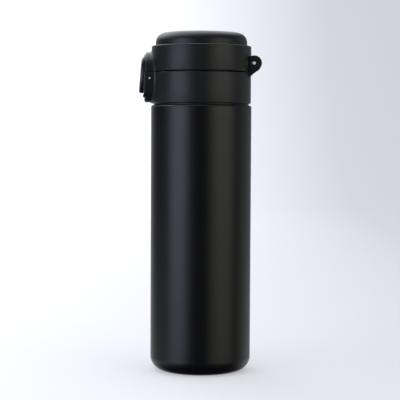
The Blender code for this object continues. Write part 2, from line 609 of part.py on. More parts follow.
def cover_screws():
    top = DECK_TOP - GAP / 2
    for i, (x, y) in enumerate(screw_places(), 1):
        outline = [(0.0, SCREW_LOW), (SCREW_R, SCREW_LOW + 0.8 * MM), (SCREW_R, top - 1.1 * MM)]
        outline += [(SCREW_HEAD_R, top - 1.1 * MM), (SCREW_HEAD_R, top - 0.5 * MM)]
        outline += [(SCREW_HEAD_R - 0.6 * MM, top), (0.0, top)]
        screw = turned(f"cover_screw_{i}", outline, "pin_steel", 12, (x, y), (x, y, top))
        for name, half_x, half_y in (("slot_a", 1.1, 0.25), ("slot_b", 0.25, 1.1)):
            low = (x - half_x * MM, y - half_y * MM, top - 0.6 * MM)
            cut(screw, box(f"{name}_{i}", low, (x + half_x * MM, y + half_y * MM, top + MM)))


# ---- hinge and latch ----

def hinge_parts():
    origin = (HINGE_X, 0.0, HINGE_Z)
    half = HINGE_HALF - 0.7 * MM
    rod("hinge_pin", HINGE_X, HINGE_Z, HINGE_PIN_R, -half, half, "pin_steel", SMALL_STEPS, origin)
    leg = (SPRING_LEG_TOP, SPRING_LEG_TOP / 2)
    path = [Vector((HINGE_X - SPRING_COIL_R, -SPRING_HALF, HINGE_Z + rise)) for rise in leg]
    turn_steps = 10
    last = SPRING_TURNS * turn_steps + round(turn_steps / 8)
    for i in range(last + 1):
        angle = pi + 2.0 * pi * i / turn_steps
        y = SPRING_HALF * (2.0 * i / last - 1.0)
        path.append(Vector((HINGE_X + SPRING_COIL_R * cos(angle), y, HINGE_Z + SPRING_COIL_R * sin(angle))))
    leaving = Vector((-sin(angle), 0.0, cos(angle)))
    path.append(path[-1] + leaving * SPRING_LEG_LOW)
    wire("hinge_spring", path, SPRING_WIRE_R, "spring_steel")


def bowed(ring):
    """The ring bent back towards both sides of the pad."""
    return [(x + PAD_BOW * (y / PAD_HALF_W) ** 2, y, z) for x, y, z in ring]


def button():
    """The rocking push button: a bowed pad, a barrel on the pivot pin and the hook that holds the cover."""
    origin = (PIVOT_X, 0.0, PIVOT_Z)
    rings = [oval(PAD_HALF_W - 0.5 * MM, PAD_HALF_H - 0.5 * MM, PAD_Z, PAD_BACK_X)]
    rings.append(oval(PAD_HALF_W, PAD_HALF_H, PAD_Z, PAD_BACK_X - 0.5 * MM, PAD_SLOPE * 0.1))
    for turn in (0, 30, 60):
        inset = PAD_ROUND * (1.0 - cos(radians(turn)))
        x = PAD_FRONT_X + PAD_ROUND * (1.0 - sin(radians(turn)))
        rings.append(bowed(oval(PAD_HALF_W - inset, PAD_HALF_H - inset, PAD_Z, x, PAD_SLOPE)))
    for share in (1.0, 0.7, 0.4, 0.05):
        half_w, half_h = (PAD_HALF_W - PAD_ROUND) * share, (PAD_HALF_H - PAD_ROUND) * share
        rings.append(bowed(oval(half_w, half_h, PAD_Z, PAD_FRONT_X, PAD_SLOPE)))
    pad = lofted("button", rings, "button_plastic", origin)
    join(pad, rod("rocker_barrel", PIVOT_X, PIVOT_Z, BARREL_R, -BARREL_HALF, BARREL_HALF))
    root_x, arm_half = PAD_BACK_X - 0.6 * MM, BARREL_HALF - 1.2 * MM
    arm = [(root_x, PIVOT_Z - 2.0 * MM), (PIVOT_X, PIVOT_Z - 1.4 * MM)]
    arm += [(PIVOT_X, PIVOT_Z + 1.4 * MM), (root_x, PIVOT_Z + 2.6 * MM)]
    join(pad, prism("rocker_arm", arm, -arm_half, arm_half))
    hook_top = HOOK_LOW + HOOK_HEIGHT
    hook = [(root_x, HOOK_LOW), (HOOK_TIP_X, HOOK_LOW), (HOOK_TIP_X, HOOK_LOW + 0.6 * MM)]
    hook += [(HOOK_TIP_X - 1.9 * MM, hook_top), (root_x, hook_top)]
    join(pad, prism("hook", hook, -HOOK_HALF_W, HOOK_HALF_W))
    cut(pad, rod("barrel_hole", PIVOT_X, PIVOT_Z, PIVOT_PIN_R + PIN_ROOM, -CUT_HALF_Y, CUT_HALF_Y))


def latch_parts():
    origin = (PIVOT_X, 0.0, PIVOT_Z)
    half = BOSS_HALF_W - 0.5 * MM
    rod("button_pin", PIVOT_X, PIVOT_Z, PIVOT_PIN_R, -half, half, "pin_steel", 12, origin)
    origin = (BAIL_X, 0.0, BAIL_PIVOT_Z)
    rod("lock_pin", BAIL_X, BAIL_PIVOT_Z, BAIL_PIN_R, -BAIL_HALF_W, BAIL_HALF_W, "spring_steel", 10, origin)
    start_x, end_x = POCKET_FLOOR_X - 0.6 * MM, PAD_BACK_X + 0.6 * MM
    turn_steps = 10
    last = RETURN_SPRING_TURNS * turn_steps
    path = []
    for i in range(last + 1):
        angle = 2.0 * pi * i / turn_steps
        x = start_x + (end_x - start_x) * i / last
        y, rise = RETURN_SPRING_R * cos(angle), RETURN_SPRING_R * sin(angle)
        path.append(Vector((x, y, RETURN_SPRING_Z + rise)))
    wire("button_spring", path, 0.28 * MM, "spring_steel")


def lock_bail():
    """A U-shaped bail, hinged at its feet, whose lip holds the cover shut when it stands up."""
    low = BAIL_PIVOT_Z
    outer = arch(BAIL_HALF_W, BAIL_TOP, low)
    inner = arch(BAIL_HALF_W - BAIL_WIDTH, BAIL_TOP - BAIL_WIDTH, low)
    back, front = BAIL_X + BAIL_WIDTH / 2, BAIL_X - BAIL_WIDTH / 2
    origin = (BAIL_X, 0.0, BAIL_PIVOT_Z)
    bail = prism("lock_bail", outer + inner[::-1], front, back, "x", "button_plastic", origin)
    join(bail, *both_sides("eye", BAIL_X, BAIL_PIVOT_Z, BAIL_EYE_R, BAIL_HALF_W - BAIL_WIDTH, BAIL_HALF_W))
    join(bail, box("lock_lip", (back - 0.3 * MM, -LIP_HALF_W, BAIL_TOP - 1.1 * MM),
                   (SEAT_X + 0.5 * MM, LIP_HALF_W, BAIL_TOP - 0.3 * MM)))
    hole_r = BAIL_PIN_R + BAIL_PIN_ROOM
    cut(bail, rod("eye_holes", BAIL_X, BAIL_PIVOT_Z, hole_r, -CUT_HALF_Y, CUT_HALF_Y, None, 12))


for old in list(bpy.data.objects):
    bpy.data.objects.remove(old, do_unlink=True)

outer_shell()
inner_vessel()
shell_bottom()
base_cap()
vacuum_parts()
collar()
thread_ring()
spout()
neck_gasket()
cover_shell()
cover_dome()
cover_liner()
cover_seal()
cover_screws()
hinge_parts()
button()
latch_parts()
lock_bail()
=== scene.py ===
import json
from math import atan2, cos, pi, radians, sin, sqrt, tan

import bmesh
import bpy
from mathutils import Matrix, Vector


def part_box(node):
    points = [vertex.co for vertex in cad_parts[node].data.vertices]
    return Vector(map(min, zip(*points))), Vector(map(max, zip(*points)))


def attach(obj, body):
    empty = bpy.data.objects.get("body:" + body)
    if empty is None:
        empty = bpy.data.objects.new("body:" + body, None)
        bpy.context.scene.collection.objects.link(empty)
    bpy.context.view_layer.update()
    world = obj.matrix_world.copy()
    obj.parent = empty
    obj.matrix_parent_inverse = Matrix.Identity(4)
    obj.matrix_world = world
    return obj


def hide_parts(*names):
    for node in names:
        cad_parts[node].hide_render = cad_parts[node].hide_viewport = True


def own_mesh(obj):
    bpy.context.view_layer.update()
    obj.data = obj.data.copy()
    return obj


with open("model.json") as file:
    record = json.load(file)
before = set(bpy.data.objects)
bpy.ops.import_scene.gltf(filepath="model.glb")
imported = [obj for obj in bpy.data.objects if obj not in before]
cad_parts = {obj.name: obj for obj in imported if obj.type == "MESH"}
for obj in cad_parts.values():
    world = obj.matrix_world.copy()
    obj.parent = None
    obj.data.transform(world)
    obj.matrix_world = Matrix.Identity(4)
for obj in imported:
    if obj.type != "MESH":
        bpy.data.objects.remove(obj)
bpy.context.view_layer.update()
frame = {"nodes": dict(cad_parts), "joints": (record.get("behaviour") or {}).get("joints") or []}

# The looks of a vacuum flask with a push-button flip lid.
# Metres, +Z up, the hinge at +X and the button at -X. The camera looks from -Y.

MM = 0.001
GAP = 0.3 * MM
ROUND_STEPS = 256
MEDIUM_STEPS = 128
AXLE_STEPS = 72
SMALL_STEPS = 48
COIL_STEPS = 28
SHARP_ANGLE = radians(30)
NOISE_RANGE = (0.3, 0.7)  # where most of a noise texture's values lie
RIM_TURNS = (0, 15, 30, 45, 60, 75, 90)  # degrees, the steps of a rounded rim

# Where cutters end, clear of what they cut
CUT_FRONT_X = -45.0 * MM
CUT_SIDE_X = -20.0 * MM
CUT_HALF_Y = 20.0 * MM
CUT_LOW_Z = 165.0 * MM
CUT_HIGH_Z = 235.0 * MM


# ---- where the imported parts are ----

def joint_axis(name):
    """The point that a joint turns about."""
    return Vector(next(joint["pos_m"] for joint in frame["joints"] if joint["name"] == name))


def low_of(node):
    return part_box(node)[0]


def high_of(node):
    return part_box(node)[1]


HINGE = joint_axis("lid_hinge")
PIVOT = joint_axis("button_press")
LOCK = joint_axis("lock_swing")

BODY_R = high_of("outer_shell").x
LIP_Z = high_of("outer_shell").z + GAP
RECESS_R = high_of("base_cap").x + 0.4 * MM
BASE_LOW = low_of("base_cap").z
BOTTOM_Z = high_of("base_cap").z + GAP
BOTTOM_TOP = high_of("shell_bottom").z
LINER_R = high_of("inner_vessel").x
LINER_LOW = low_of("inner_vessel").z
NECK_R = BODY_R - 5.6 * MM
SHOULDER_Z = LIP_Z - 15.3 * MM
MOUTH_R = NECK_R - 1.8 * MM
SHELL_WALL = 0.5 * MM
FOOT_ROUND = 9.3 * MM

COLLAR_R = high_of("collar").y
COLLAR_LOW = low_of("collar").z
COVER_R = high_of("cover_shell").y
COVER_LOW = low_of("cover_shell").z
COLLAR_TOP = COVER_LOW - 0.7 * MM
COLLAR_HOLE_R = 26.0 * MM
COLLAR_BORE_R = COLLAR_R - 1.9 * MM
PLATE_LOW = COLLAR_TOP - 2.4 * MM
LEDGE_Z = high_of("cover_shell").z
DOME_R = high_of("cover_dome").x
DOME_TOP = high_of("cover_dome").z
DECK_TOP = low_of("cover_dome").z - GAP
DECK_LOW = high_of("cover_liner").z + GAP

SPOUT_TOP = high_of("spout").z
SPOUT_LOW = low_of("spout").z
SPOUT_BORE_R = 16.5 * MM
SPOUT_R = 19.6 * MM
GASKET_LOW = low_of("neck_gasket").z
GASKET_TOP = high_of("neck_gasket").z
THREAD_BORE_R = 28.9 * MM
THREAD_PITCH = 4.0 * MM
THREAD_TURNS = 1.4
THREAD_Z = LIP_Z - 10.0 * MM
THREAD_HEIGHT = 1.0 * MM

EAR_R = high_of("collar").x - HINGE.x
HINGE_HALF = high_of("hinge_pin").y + 0.7 * MM
EAR_INNER = 7.4 * MM
KNUCKLE_R = 4.6 * MM
KNUCKLE_INNER = 4.0 * MM
KNUCKLE_ROOM_R = 5.45 * MM
HINGE_PIN_R = high_of("hinge_pin").z - HINGE.z
HINGE_PIN_ROOM = 0.25 * MM
COIL_ROOM_R = 3.0 * MM
SPRING_COIL_R = 1.9 * MM
SPRING_HALF = 3.2 * MM
# (x, z, corner radius) in millimetres from the hinge axis
WEB_OUTLINE = (
    (-6.3, -12.2, 0), (-3.4, -9.4, 3.0), (2.2, -4.7, 2.0), (3.5, -4.1, 0.5), (4.7, -1.6, 0.5),
    (0, 0, 0), (-6.3, 0, 0),
)

BOSS_Z = 193.0 * MM
BOSS_HALF_W = 13.5 * MM
BOSS_HALF_H = 16.5 * MM
BOSS_FRONT_LOWER = LOCK.x - 0.4 * MM
BOSS_FRONT_UPPER = low_of("cover_shell").x
BOSS_BACK = -26.0 * MM
BOSS_FLARE = 1.5 * MM
BOSS_ROUND = 1.2 * MM
OVAL_POWER = 2.3
SEAT_X = -36.1 * MM
POCKET_FLOOR_X = -31.8 * MM
PAD_Z = 194.3 * MM
PAD_HALF_W = 7.2 * MM
PAD_HALF_H = 11.8 * MM
PAD_BACK_X = -38.0 * MM
PAD_FRONT_X = -40.2 * MM
PAD_SLOPE = 0.08
PAD_ROUND = 1.5 * MM
PAD_BOW = 0.5 * MM
BUTTON_PIN_R = high_of("button_pin").z - PIVOT.z
BUTTON_PIN_ROOM = 0.2 * MM
BARREL_R = 1.5 * MM
BARREL_HALF = 6.6 * MM
HOOK_LOW = 200.2 * MM
HOOK_TIP_X = -35.2 * MM
HOOK_HALF_W = 3.0 * MM
HOOK_HEIGHT = 3.0 * MM
BAIL_ARCH_Z = 196.0 * MM
BAIL_HALF_W = high_of("lock_bail").y
BAIL_TOP = high_of("lock_bail").z
BAIL_WIDTH = 1.4 * MM
BAIL_EYE_R = 1.15 * MM
EYE_ROOM_R = 1.75 * MM
LOCK_PIN_R = high_of("lock_pin").z - LOCK.z
LOCK_PIN_ROOM = 0.17 * MM
LIP_HALF_W = 3.0 * MM
SCREWS = sorted(node for node in frame["nodes"] if node.startswith("cover_screw_"))
SCREW_HOLE_R = 1.2 * MM
SCREW_HEAD_ROOM_R = 2.5 * MM


# ---- mesh tools ----

def upright(x, y, height):
    return (x, y, height)


def along_y(centre):
    """Turns a profile about an axis along Y, through the point `centre`."""
    return lambda x, y, height: (centre.x + x, height, centre.z + y)


def placed(name, data):
    """A new object in the scene."""
    obj = bpy.data.objects.new(name, data)
    bpy.context.scene.collection.objects.link(obj)
    return obj


def finished(name, bm):
    """The bmesh as a smooth-shaded object whose edges stay crisp."""
    bmesh.ops.recalc_face_normals(bm, faces=bm.faces)
    mesh = bpy.data.meshes.new(name)
    bm.to_mesh(mesh)
    bm.free()
    mesh.shade_smooth()
    mesh.set_sharp_from_angle(angle=SHARP_ANGLE)
    return placed(name, mesh)


def rounded(outline, closed=True, steps=5):
    """The (u, v) points of an outline of (u, v, corner radius) points, with its corners turned into arcs."""
    points = []
    last = len(outline) - 1
    for i, (u, v, radius) in enumerate(outline):
        if radius == 0 or (not closed and i in (0, last)):
            points.append((u, v))
            continue
        corner = Vector((u, v))
        before = Vector(outline[i - 1][:2]) - corner
        after = Vector(outline[(i + 1) % len(outline)][:2]) - corner
        half = before.angle(after) / 2
        reach = min(radius / tan(half), 0.48 * before.length, 0.48 * after.length)
        arc_r = reach * tan(half)
        middle = (before.normalized() + after.normalized()).normalized()
        centre = corner + middle * arc_r / sin(half)
        start = corner + before.normalized() * reach - centre
        end = corner + after.normalized() * reach - centre
        first = atan2(start.y, start.x)
        sweep = (atan2(end.y, end.x) - first + pi) % (2 * pi) - pi
        for step in range(steps + 1):
            angle = first + sweep * step / steps
            points.append((centre.x + arc_r * cos(angle), centre.y + arc_r * sin(angle)))
    return points


def arc(u, v, radius, start, end, count):
    """Points on an arc, from the start angle to the end angle in degrees."""
    angles = [radians(start + (end - start) * i / (count - 1)) for i in range(count)]
    return [(u + radius * cos(a), v + radius * sin(a)) for a in angles]


def rim(radius, turn):
    """How far along and how far in a rounded rim has gone at a turn in degrees."""
    angle = radians(turn)
    return radius * (1 - cos(angle)), radius * (1 - sin(angle))


def turned(name, outline, steps=ROUND_STEPS, place=upright):
    """A solid of revolution of (radius, height) points, closed on the axis where its ends lie there."""
    bm = bmesh.new()
    rings = []
    for radius, height in outline:
        count = steps if radius > 0 else 1
        turns = [2 * pi * i / steps for i in range(count)]
        rings.append([bm.verts.new(place(radius * cos(a), radius * sin(a), height)) for a in turns])
    pairs = list(zip(rings, rings[1:]))
    if len(rings[0]) > 1:
        pairs.append((rings[-1], rings[0]))
    for near, far in pairs:
        for i in range(steps):
            j = (i + 1) % steps
            corners = (near[i % len(near)], near[j % len(near)], far[j % len(far)], far[i % len(far)])
            bm.faces.new(list(dict.fromkeys(corners)))
    return finished(name, bm)


def moved_outline(outline, centre):
    """Outline points given in millimetres from a centre, in metres."""
    return [(centre.x + u * MM, centre.z + v * MM, radius * MM) for u, v, radius in outline]


def prism(name, outline, low, high, across="y", edge=0.0):
    """An outline of points, extruded from low to high along the axis `across`, with rounded rims."""
    place = {
        "x": lambda p, d: (d, p[0], p[1]),
        "y": lambda p, d: (p[0], d, p[1]),
    }[across]
    steps = [rim(edge, turn) for turn in ((0, 30, 60, 90) if edge else (90,))]
    levels = [(low + depth, inset) for depth, inset in steps]
    levels += [(high - depth, inset) for depth, inset in steps[::-1]]
    return lofted(name, [[place(p, depth) for p in shrunk(outline, inset)] for depth, inset in levels])


def shrunk(outline, inset):
    """The outline moved inwards by inset, corner by corner."""
    if inset == 0:
        return outline
    area = sum(a[0] * b[1] - b[0] * a[1] for a, b in zip(outline, outline[1:] + outline[:1]))
    side = 1.0 if area > 0 else -1.0
    points = []
    for i, point in enumerate(outline):
        here = Vector(point)
        forward = (Vector(outline[(i + 1) % len(outline)]) - here).normalized()
        back = (here - Vector(outline[i - 1])).normalized()
        normal = (Vector((-forward.y, forward.x)) + Vector((-back.y, back.x))).normalized() * side
        points.append(tuple(here + normal * inset))
    return points


def lofted(name, rings):
    """Closed rings of points, bridged one after another and closed at both ends."""
    bm = bmesh.new()
    loops = [[bm.verts.new(point) for point in ring] for ring in rings]
    for near, far in zip(loops, loops[1:]):
        for i, vert in enumerate(near):
            before = i - 1
            bm.faces.new((near[before], vert, far[i], far[before]))
    bm.faces.new(loops[0])
    bm.faces.new(loops[-1])
    return finished(name, bm)


def box(name, low, high):
    outline = [(low[0], low[2]), (high[0], low[2]), (high[0], high[2]), (low[0], high[2])]
    return prism(name, outline, low[1], high[1])


def rod(name, centre, radius, low, high, edge=0.0, steps=SMALL_STEPS):
    """A round bar along Y with rounded ends."""
    outline = rounded([(0, low, 0), (radius, low, edge), (radius, high, edge), (0, high, 0)], closed=False)
    return turned(name, outline, steps, along_y(centre))


def both_sides(name, centre, radius, inner, outer, edge=0.0, steps=SMALL_STEPS):
    """Two round bars along Y, mirrored about the middle."""
    spans = (("front", -outer, -inner), ("back", inner, outer))
    return [rod(f"{name}_{side}", centre, radius, low, high, edge, steps) for side, low, high in spans]


def pin_hole(name, axis, radius):
    """A long round bar along Y, to cut a pin's hole."""
    return rod(name, axis, radius, -CUT_HALF_Y, CUT_HALF_Y)


def latch_side(name, low, high):
    """A block round the latch, between two heights."""
    return box(name, (CUT_FRONT_X, -CUT_HALF_Y, low), (CUT_SIDE_X, CUT_HALF_Y, high))


def wire(name, path, radius, sides=10):
    """A round wire along a smooth path."""
    rings = []
    for i, point in enumerate(path):
        before, after = path[max(i - 1, 0)], path[min(i + 1, len(path) - 1)]
        forward = (after - before).normalized()
        across = forward.cross(Vector((0.31, 0.83, 0.46))).normalized() if i == 0 else across
        across = (across - forward * across.dot(forward)).normalized()
        upward = forward.cross(across)
        angles = [2 * pi * side / sides for side in range(sides)]
        rings.append([point + radius * (cos(a) * across + sin(a) * upward) for a in angles])
    return lofted(name, rings)


def solved(target, joined=(), removed=()):
    """Adds and cuts the given solids, and keeps only the result."""
    helpers = [(helper, "UNION") for helper in joined] + [(helper, "DIFFERENCE") for helper in removed]
    for helper, operation in helpers:
        modifier = target.modifiers.new(helper.name, "BOOLEAN")
        modifier.object = helper
        modifier.operation = operation
        modifier.solver = "MANIFOLD"
    graph = bpy.context.evaluated_depsgraph_get()
    mesh = bpy.data.meshes.new_from_object(target.evaluated_get(graph))
    target.modifiers.clear()
    target.data = mesh
    for helper, _ in helpers:
        bpy.data.objects.remove(helper, do_unlink=True)
    mesh.shade_smooth()
    mesh.set_sharp_from_angle(angle=SHARP_ANGLE)
    return target


def squarish(share):
    """Pushes a sine or a cosine outwards, which turns an ellipse into a squarish oval."""
    return abs(share) ** (2 / OVAL_POWER) * (1 if share >= 0 else -1)


def oval(half_w, half_h, z, x=0.0, slope=0.0, steps=96):
    """A squarish oval in the plane of Y and Z, at x, which may lean by slope."""
    ring = []
    for i in range(steps):
        angle = 2 * pi * i / steps
        up = half_h * squarish(sin(angle))
        ring.append((x + slope * up, half_w * squarish(cos(angle)), z + up))
    return ring


def arch(half_w, top, low, steps=48):
    """(y, z) points of a straight-sided shape with an oval top, from one foot round to the other."""
    points = [(half_w, low)]
    for i in range(steps + 1):
        angle = pi * i / steps
        rise = (top - BAIL_ARCH_Z) * squarish(max(sin(angle), 0))
        points.append((half_w * squarish(cos(angle)), BAIL_ARCH_Z + rise))
    points.append((-half_w, low))
    return points


def thread_ridge(name, wall_r, crest_r, start_z, start_angle):
    """A rounded helical ridge that rises out of a wall and sinks back into it at both ends."""
    per_turn = 96
    inward = -1 if crest_r < wall_r else 1
    steps = round(THREAD_TURNS * per_turn)
    fade = per_turn / 10
    rings = []
    for i in range(steps + 1):
        angle = start_angle + 2 * pi * i / per_turn
        z = start_z + THREAD_PITCH * i / per_turn
        grown = min(1.0, i / fade, (steps - i) / fade)
        root = wall_r - inward * 0.35 * MM
        crest = wall_r + (crest_r - wall_r) * grown - inward * 0.1 * MM * (1 - grown)
        section = [(root, -0.85), (wall_r, -0.75), (crest - inward * 0.15 * MM, -0.45), (crest, -0.2)]
        section += [(r, -height) for r, height in section[::-1]]
        rings.append([(r * cos(angle), r * sin(angle), z + height * MM) for r, height in section])
    return lofted(name, rings)


# ---- finishes ----

def filled(node, values):
    """Sets the node's sockets to plain values."""
    for socket, value in values.items():
        node.inputs[socket].default_value = value
    return node


def map_range(tree, value, starts, ends):
    """A node that maps the range starts to the range ends, and stays at the ends beyond it."""
    node = tree.nodes.new("ShaderNodeMapRange")
    filled(node, {"From Min": starts[0], "From Max": starts[1], "To Min": ends[0], "To Max": ends[1]})
    tree.links.new(value, node.inputs["Value"])
    return node


class Finish:
    """A procedural material: a Principled shader and what varies it, in the piece's own coordinates."""

    def __init__(self, name, colour, roughness, metallic=0.0, specular=0.5):
        self.material = bpy.data.materials.new(name)
        self.material.use_nodes = True
        self.tree = self.material.node_tree
        self.nodes, self.links = self.tree.nodes, self.tree.links
        self.shader = filled(self.nodes["Principled BSDF"], {
            "Base Color": (*colour, 1.0), "Roughness": roughness,
            "Metallic": metallic, "Specular IOR Level": specular,
        })
        self.colour, self.roughness = colour, roughness
        self.place = self.nodes.new("ShaderNodeTexCoord").outputs["Object"]
        self.normal = None

    def noise(self, scale, detail=3.0, stretch=(1.0, 1.0, 1.0), roughness=0.5):
        """A noise value from 0 to 1, with about `scale` blots to the metre."""
        mapping = filled(self.nodes.new("ShaderNodeMapping"), {"Scale": stretch})
        texture = self.nodes.new("ShaderNodeTexNoise")
        filled(texture, {"Scale": scale, "Detail": detail, "Roughness": roughness})
        self.links.new(self.place, mapping.inputs["Vector"])
        self.links.new(mapping.outputs["Vector"], texture.inputs["Vector"])
        return texture.outputs["Fac"]

    def tinted(self, scale, dark, light, detail=3.0):
        """The base colour runs in blots from dark to light times its own value."""
        mix = self.nodes.new("ShaderNodeMix")
        mix.data_type = "RGBA"
        lightest = [min(1.0, c * light) for c in self.colour]
        filled(mix, {"A": (*[c * dark for c in self.colour], 1.0), "B": (*lightest, 1.0)})
        self.links.new(self.noise(scale, detail), mix.inputs["Factor"])
        self.links.new(mix.outputs["Result"], self.shader.inputs["Base Color"])

    def polished(self, scale, spread, **kind):
        """The roughness varies by spread either way."""
        ends = (self.roughness - spread, self.roughness + spread)
        node = map_range(self.tree, self.noise(scale, **kind), NOISE_RANGE, ends)
        self.links.new(node.outputs["Result"], self.shader.inputs["Roughness"])

    def rounded_edges(self, radius):
        node = filled(self.nodes.new("ShaderNodeBevel"), {"Radius": radius})
        node.samples = 6
        self.normal = node.outputs["Normal"]

    def bumped(self, scale, depth, strength, detail=2.0, **kind):
        """Raises the surface by up to depth, in metres."""
        bump = filled(self.nodes.new("ShaderNodeBump"), {"Strength": strength, "Distance": depth})
        self.links.new(self.noise(scale, detail, **kind), bump.inputs["Height"])
        if self.normal is not None:
            self.links.new(self.normal, bump.inputs["Normal"])
        self.normal = bump.outputs["Normal"]
        self.links.new(self.normal, self.shader.inputs["Normal"])


def body_coating():
    """Satin black powder coat: a fine orange peel with a few softer patches."""
    made = Finish("body_coating", (0.0016, 0.0017, 0.0020), 0.35)
    made.tinted(26.0, 0.85, 1.15)
    made.polished(60.0, 0.018, detail=4.0)
    made.bumped(2400.0, 0.012 * MM, 0.5)
    return made


def lid_plastic():
    """Fine-grained moulded plastic, a little greyer than the body."""
    made = Finish("lid_plastic", (0.0072, 0.0074, 0.0084), 0.38, specular=0.42)
    made.rounded_edges(0.22 * MM)
    made.tinted(45.0, 0.9, 1.1)
    made.polished(90.0, 0.02)
    made.bumped(3000.0, 0.015 * MM, 0.5)
    return made


def button_plastic():
    made = Finish("button_plastic", (0.0055, 0.0057, 0.0065), 0.29, specular=0.85)
    made.rounded_edges(0.2 * MM)
    made.tinted(60.0, 0.9, 1.1)
    made.polished(120.0, 0.02)
    made.bumped(3400.0, 0.012 * MM, 0.5)
    return made


def brushed_steel():
    """Stainless steel with the fine rings left by turning."""
    made = Finish("brushed_steel", (0.62, 0.62, 0.61), 0.27, 1.0)
    rings = {"stretch": (30.0, 30.0, 2600.0), "roughness": 0.7}
    made.tinted(40.0, 0.88, 1.08)
    made.polished(1.0, 0.07, **rings)
    made.bumped(1.0, 0.006 * MM, 0.4, 3.0, **rings)
    return made


def pin_steel():
    """Satin plated steel."""
    made = Finish("pin_steel", (0.86, 0.86, 0.85), 0.42, 0.35)
    made.tinted(300.0, 0.85, 1.1)
    made.polished(900.0, 0.05)
    made.bumped(2600.0, 0.004 * MM, 0.4)
    return made


def spring_steel():
    made = Finish("spring_steel", (0.42, 0.42, 0.43), 0.28, 1.0)
    made.tinted(700.0, 0.8, 1.15)
    made.polished(1200.0, 0.06)
    made.bumped(3000.0, 0.004 * MM, 0.4)
    return made


def copper_foil():
    """Thin foil with soft creases."""
    made = Finish("copper_foil", (0.72, 0.38, 0.24), 0.26, 1.0)
    made.tinted(60.0, 0.8, 1.1, 4.0)
    made.polished(150.0, 0.08)
    made.bumped(110.0, 0.12 * MM, 0.6, 5.0, roughness=0.6)
    return made


def seal_silicone():
    """Translucent pale grey silicone."""
    made = Finish("seal_silicone", (0.50, 0.50, 0.485), 0.52)
    depths = (0.003, 0.003, 0.0028)
    filled(made.shader, {"Subsurface Weight": 0.35, "Subsurface Radius": depths, "Subsurface Scale": 1.0})
    made.tinted(80.0, 0.94, 1.04)
    made.polished(200.0, 0.05)
    made.bumped(1800.0, 0.01 * MM, 0.4)
    return made


def spout_plastic():
    made = Finish("spout_plastic", (0.012, 0.0125, 0.014), 0.36)
    made.tinted(50.0, 0.9, 1.1)
    made.polished(140.0, 0.03)
    made.bumped(2600.0, 0.008 * MM, 0.4)
    return made


def foot_rubber():
    """Matt black rubber with a fine stipple."""
    made = Finish("foot_rubber", (0.016, 0.016, 0.017), 0.78)
    made.tinted(90.0, 0.8, 1.25, 4.0)
    made.polished(260.0, 0.06)
    made.bumped(1500.0, 0.06 * MM, 0.6, 3.0)
    return made


def solder_glass():
    made = Finish("solder_glass", (0.16, 0.16, 0.17), 0.22)
    filled(made.shader, {"Coat Weight": 0.4})
    made.tinted(700.0, 0.7, 1.2)
    made.polished(900.0, 0.06)
    made.bumped(1100.0, 0.03 * MM, 0.5)
    return made


def getter_metal():
    """Sintered metal, porous and dull."""
    made = Finish("getter_metal", (0.30, 0.30, 0.31), 0.6, 1.0)
    made.tinted(1500.0, 0.6, 1.2, 4.0)
    made.polished(1800.0, 0.1)
    made.bumped(3000.0, 0.05 * MM, 0.8, 3.0)
    return made


FINISHES = {
    make.__name__: make().material
    for make in (
        body_coating, lid_plastic, button_plastic, brushed_steel, pin_steel, spring_steel,
        copper_foil, seal_silicone, spout_plastic, foot_rubber, solder_glass, getter_metal,
    )
}


def coloured(piece, slot):
    piece.data.materials.clear()
    piece.data.materials.append(FINISHES[slot])


def worn(piece, slot, body, *nodes):
    """Gives a piece its finish and the body it rides on, and lets it stand for CAD nodes."""
    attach(piece, body)
    coloured(piece, slot)
    if nodes:
        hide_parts(*nodes)
    return piece


# ---- steel bottle ----

def body_skin():
    """The coated outer shell: foot, long wall, shoulder and the threaded neck."""
    foot_r, recess_z = BODY_R - FOOT_ROUND, 3.0 * MM
    neck_in = NECK_R - SHELL_WALL
    inner_r = BODY_R - SHELL_WALL
    outline = [(NECK_R - 0.15 * MM, LIP_Z - GAP), (NECK_R, LIP_Z - GAP - 0.15 * MM)]
    outline += arc(NECK_R + 0.8 * MM, SHOULDER_Z + 0.8 * MM, 0.8 * MM, 180, 270, 7)
    outline += arc(BODY_R - 1.2 * MM, SHOULDER_Z - 1.2 * MM, 1.2 * MM, 90, 0, 9)
    outline += [(BODY_R, SHOULDER_Z * (12 - i) / 12 + FOOT_ROUND * i / 12) for i in range(1, 12)]
    outline += arc(foot_r, FOOT_ROUND, FOOT_ROUND, 0, -90, 28)
    outline += [(RECESS_R + 0.6 * MM, 0.0)]
    outline += arc(RECESS_R + 0.6 * MM, 0.6 * MM, 0.6 * MM, -100, -180, 6)
    outline += [(RECESS_R, recess_z), (RECESS_R + SHELL_WALL, recess_z), (RECESS_R + SHELL_WALL, 0.7 * MM)]
    outline += arc(foot_r, FOOT_ROUND, FOOT_ROUND - SHELL_WALL, -88, 0, 16)
    outline += [(inner_r, SHOULDER_Z - 1.4 * MM), (inner_r - 0.7 * MM, SHOULDER_Z - SHELL_WALL)]
    outline += [(neck_in, SHOULDER_Z - SHELL_WALL), (neck_in, LIP_Z - GAP)]
    shell = turned("body_skin", outline)
    ridge = thread_ridge("neck_thread", NECK_R, NECK_R + THREAD_HEIGHT, THREAD_Z, 0.0)
    worn(solved(shell, joined=[ridge]), "body_coating", "flask", "outer_shell")


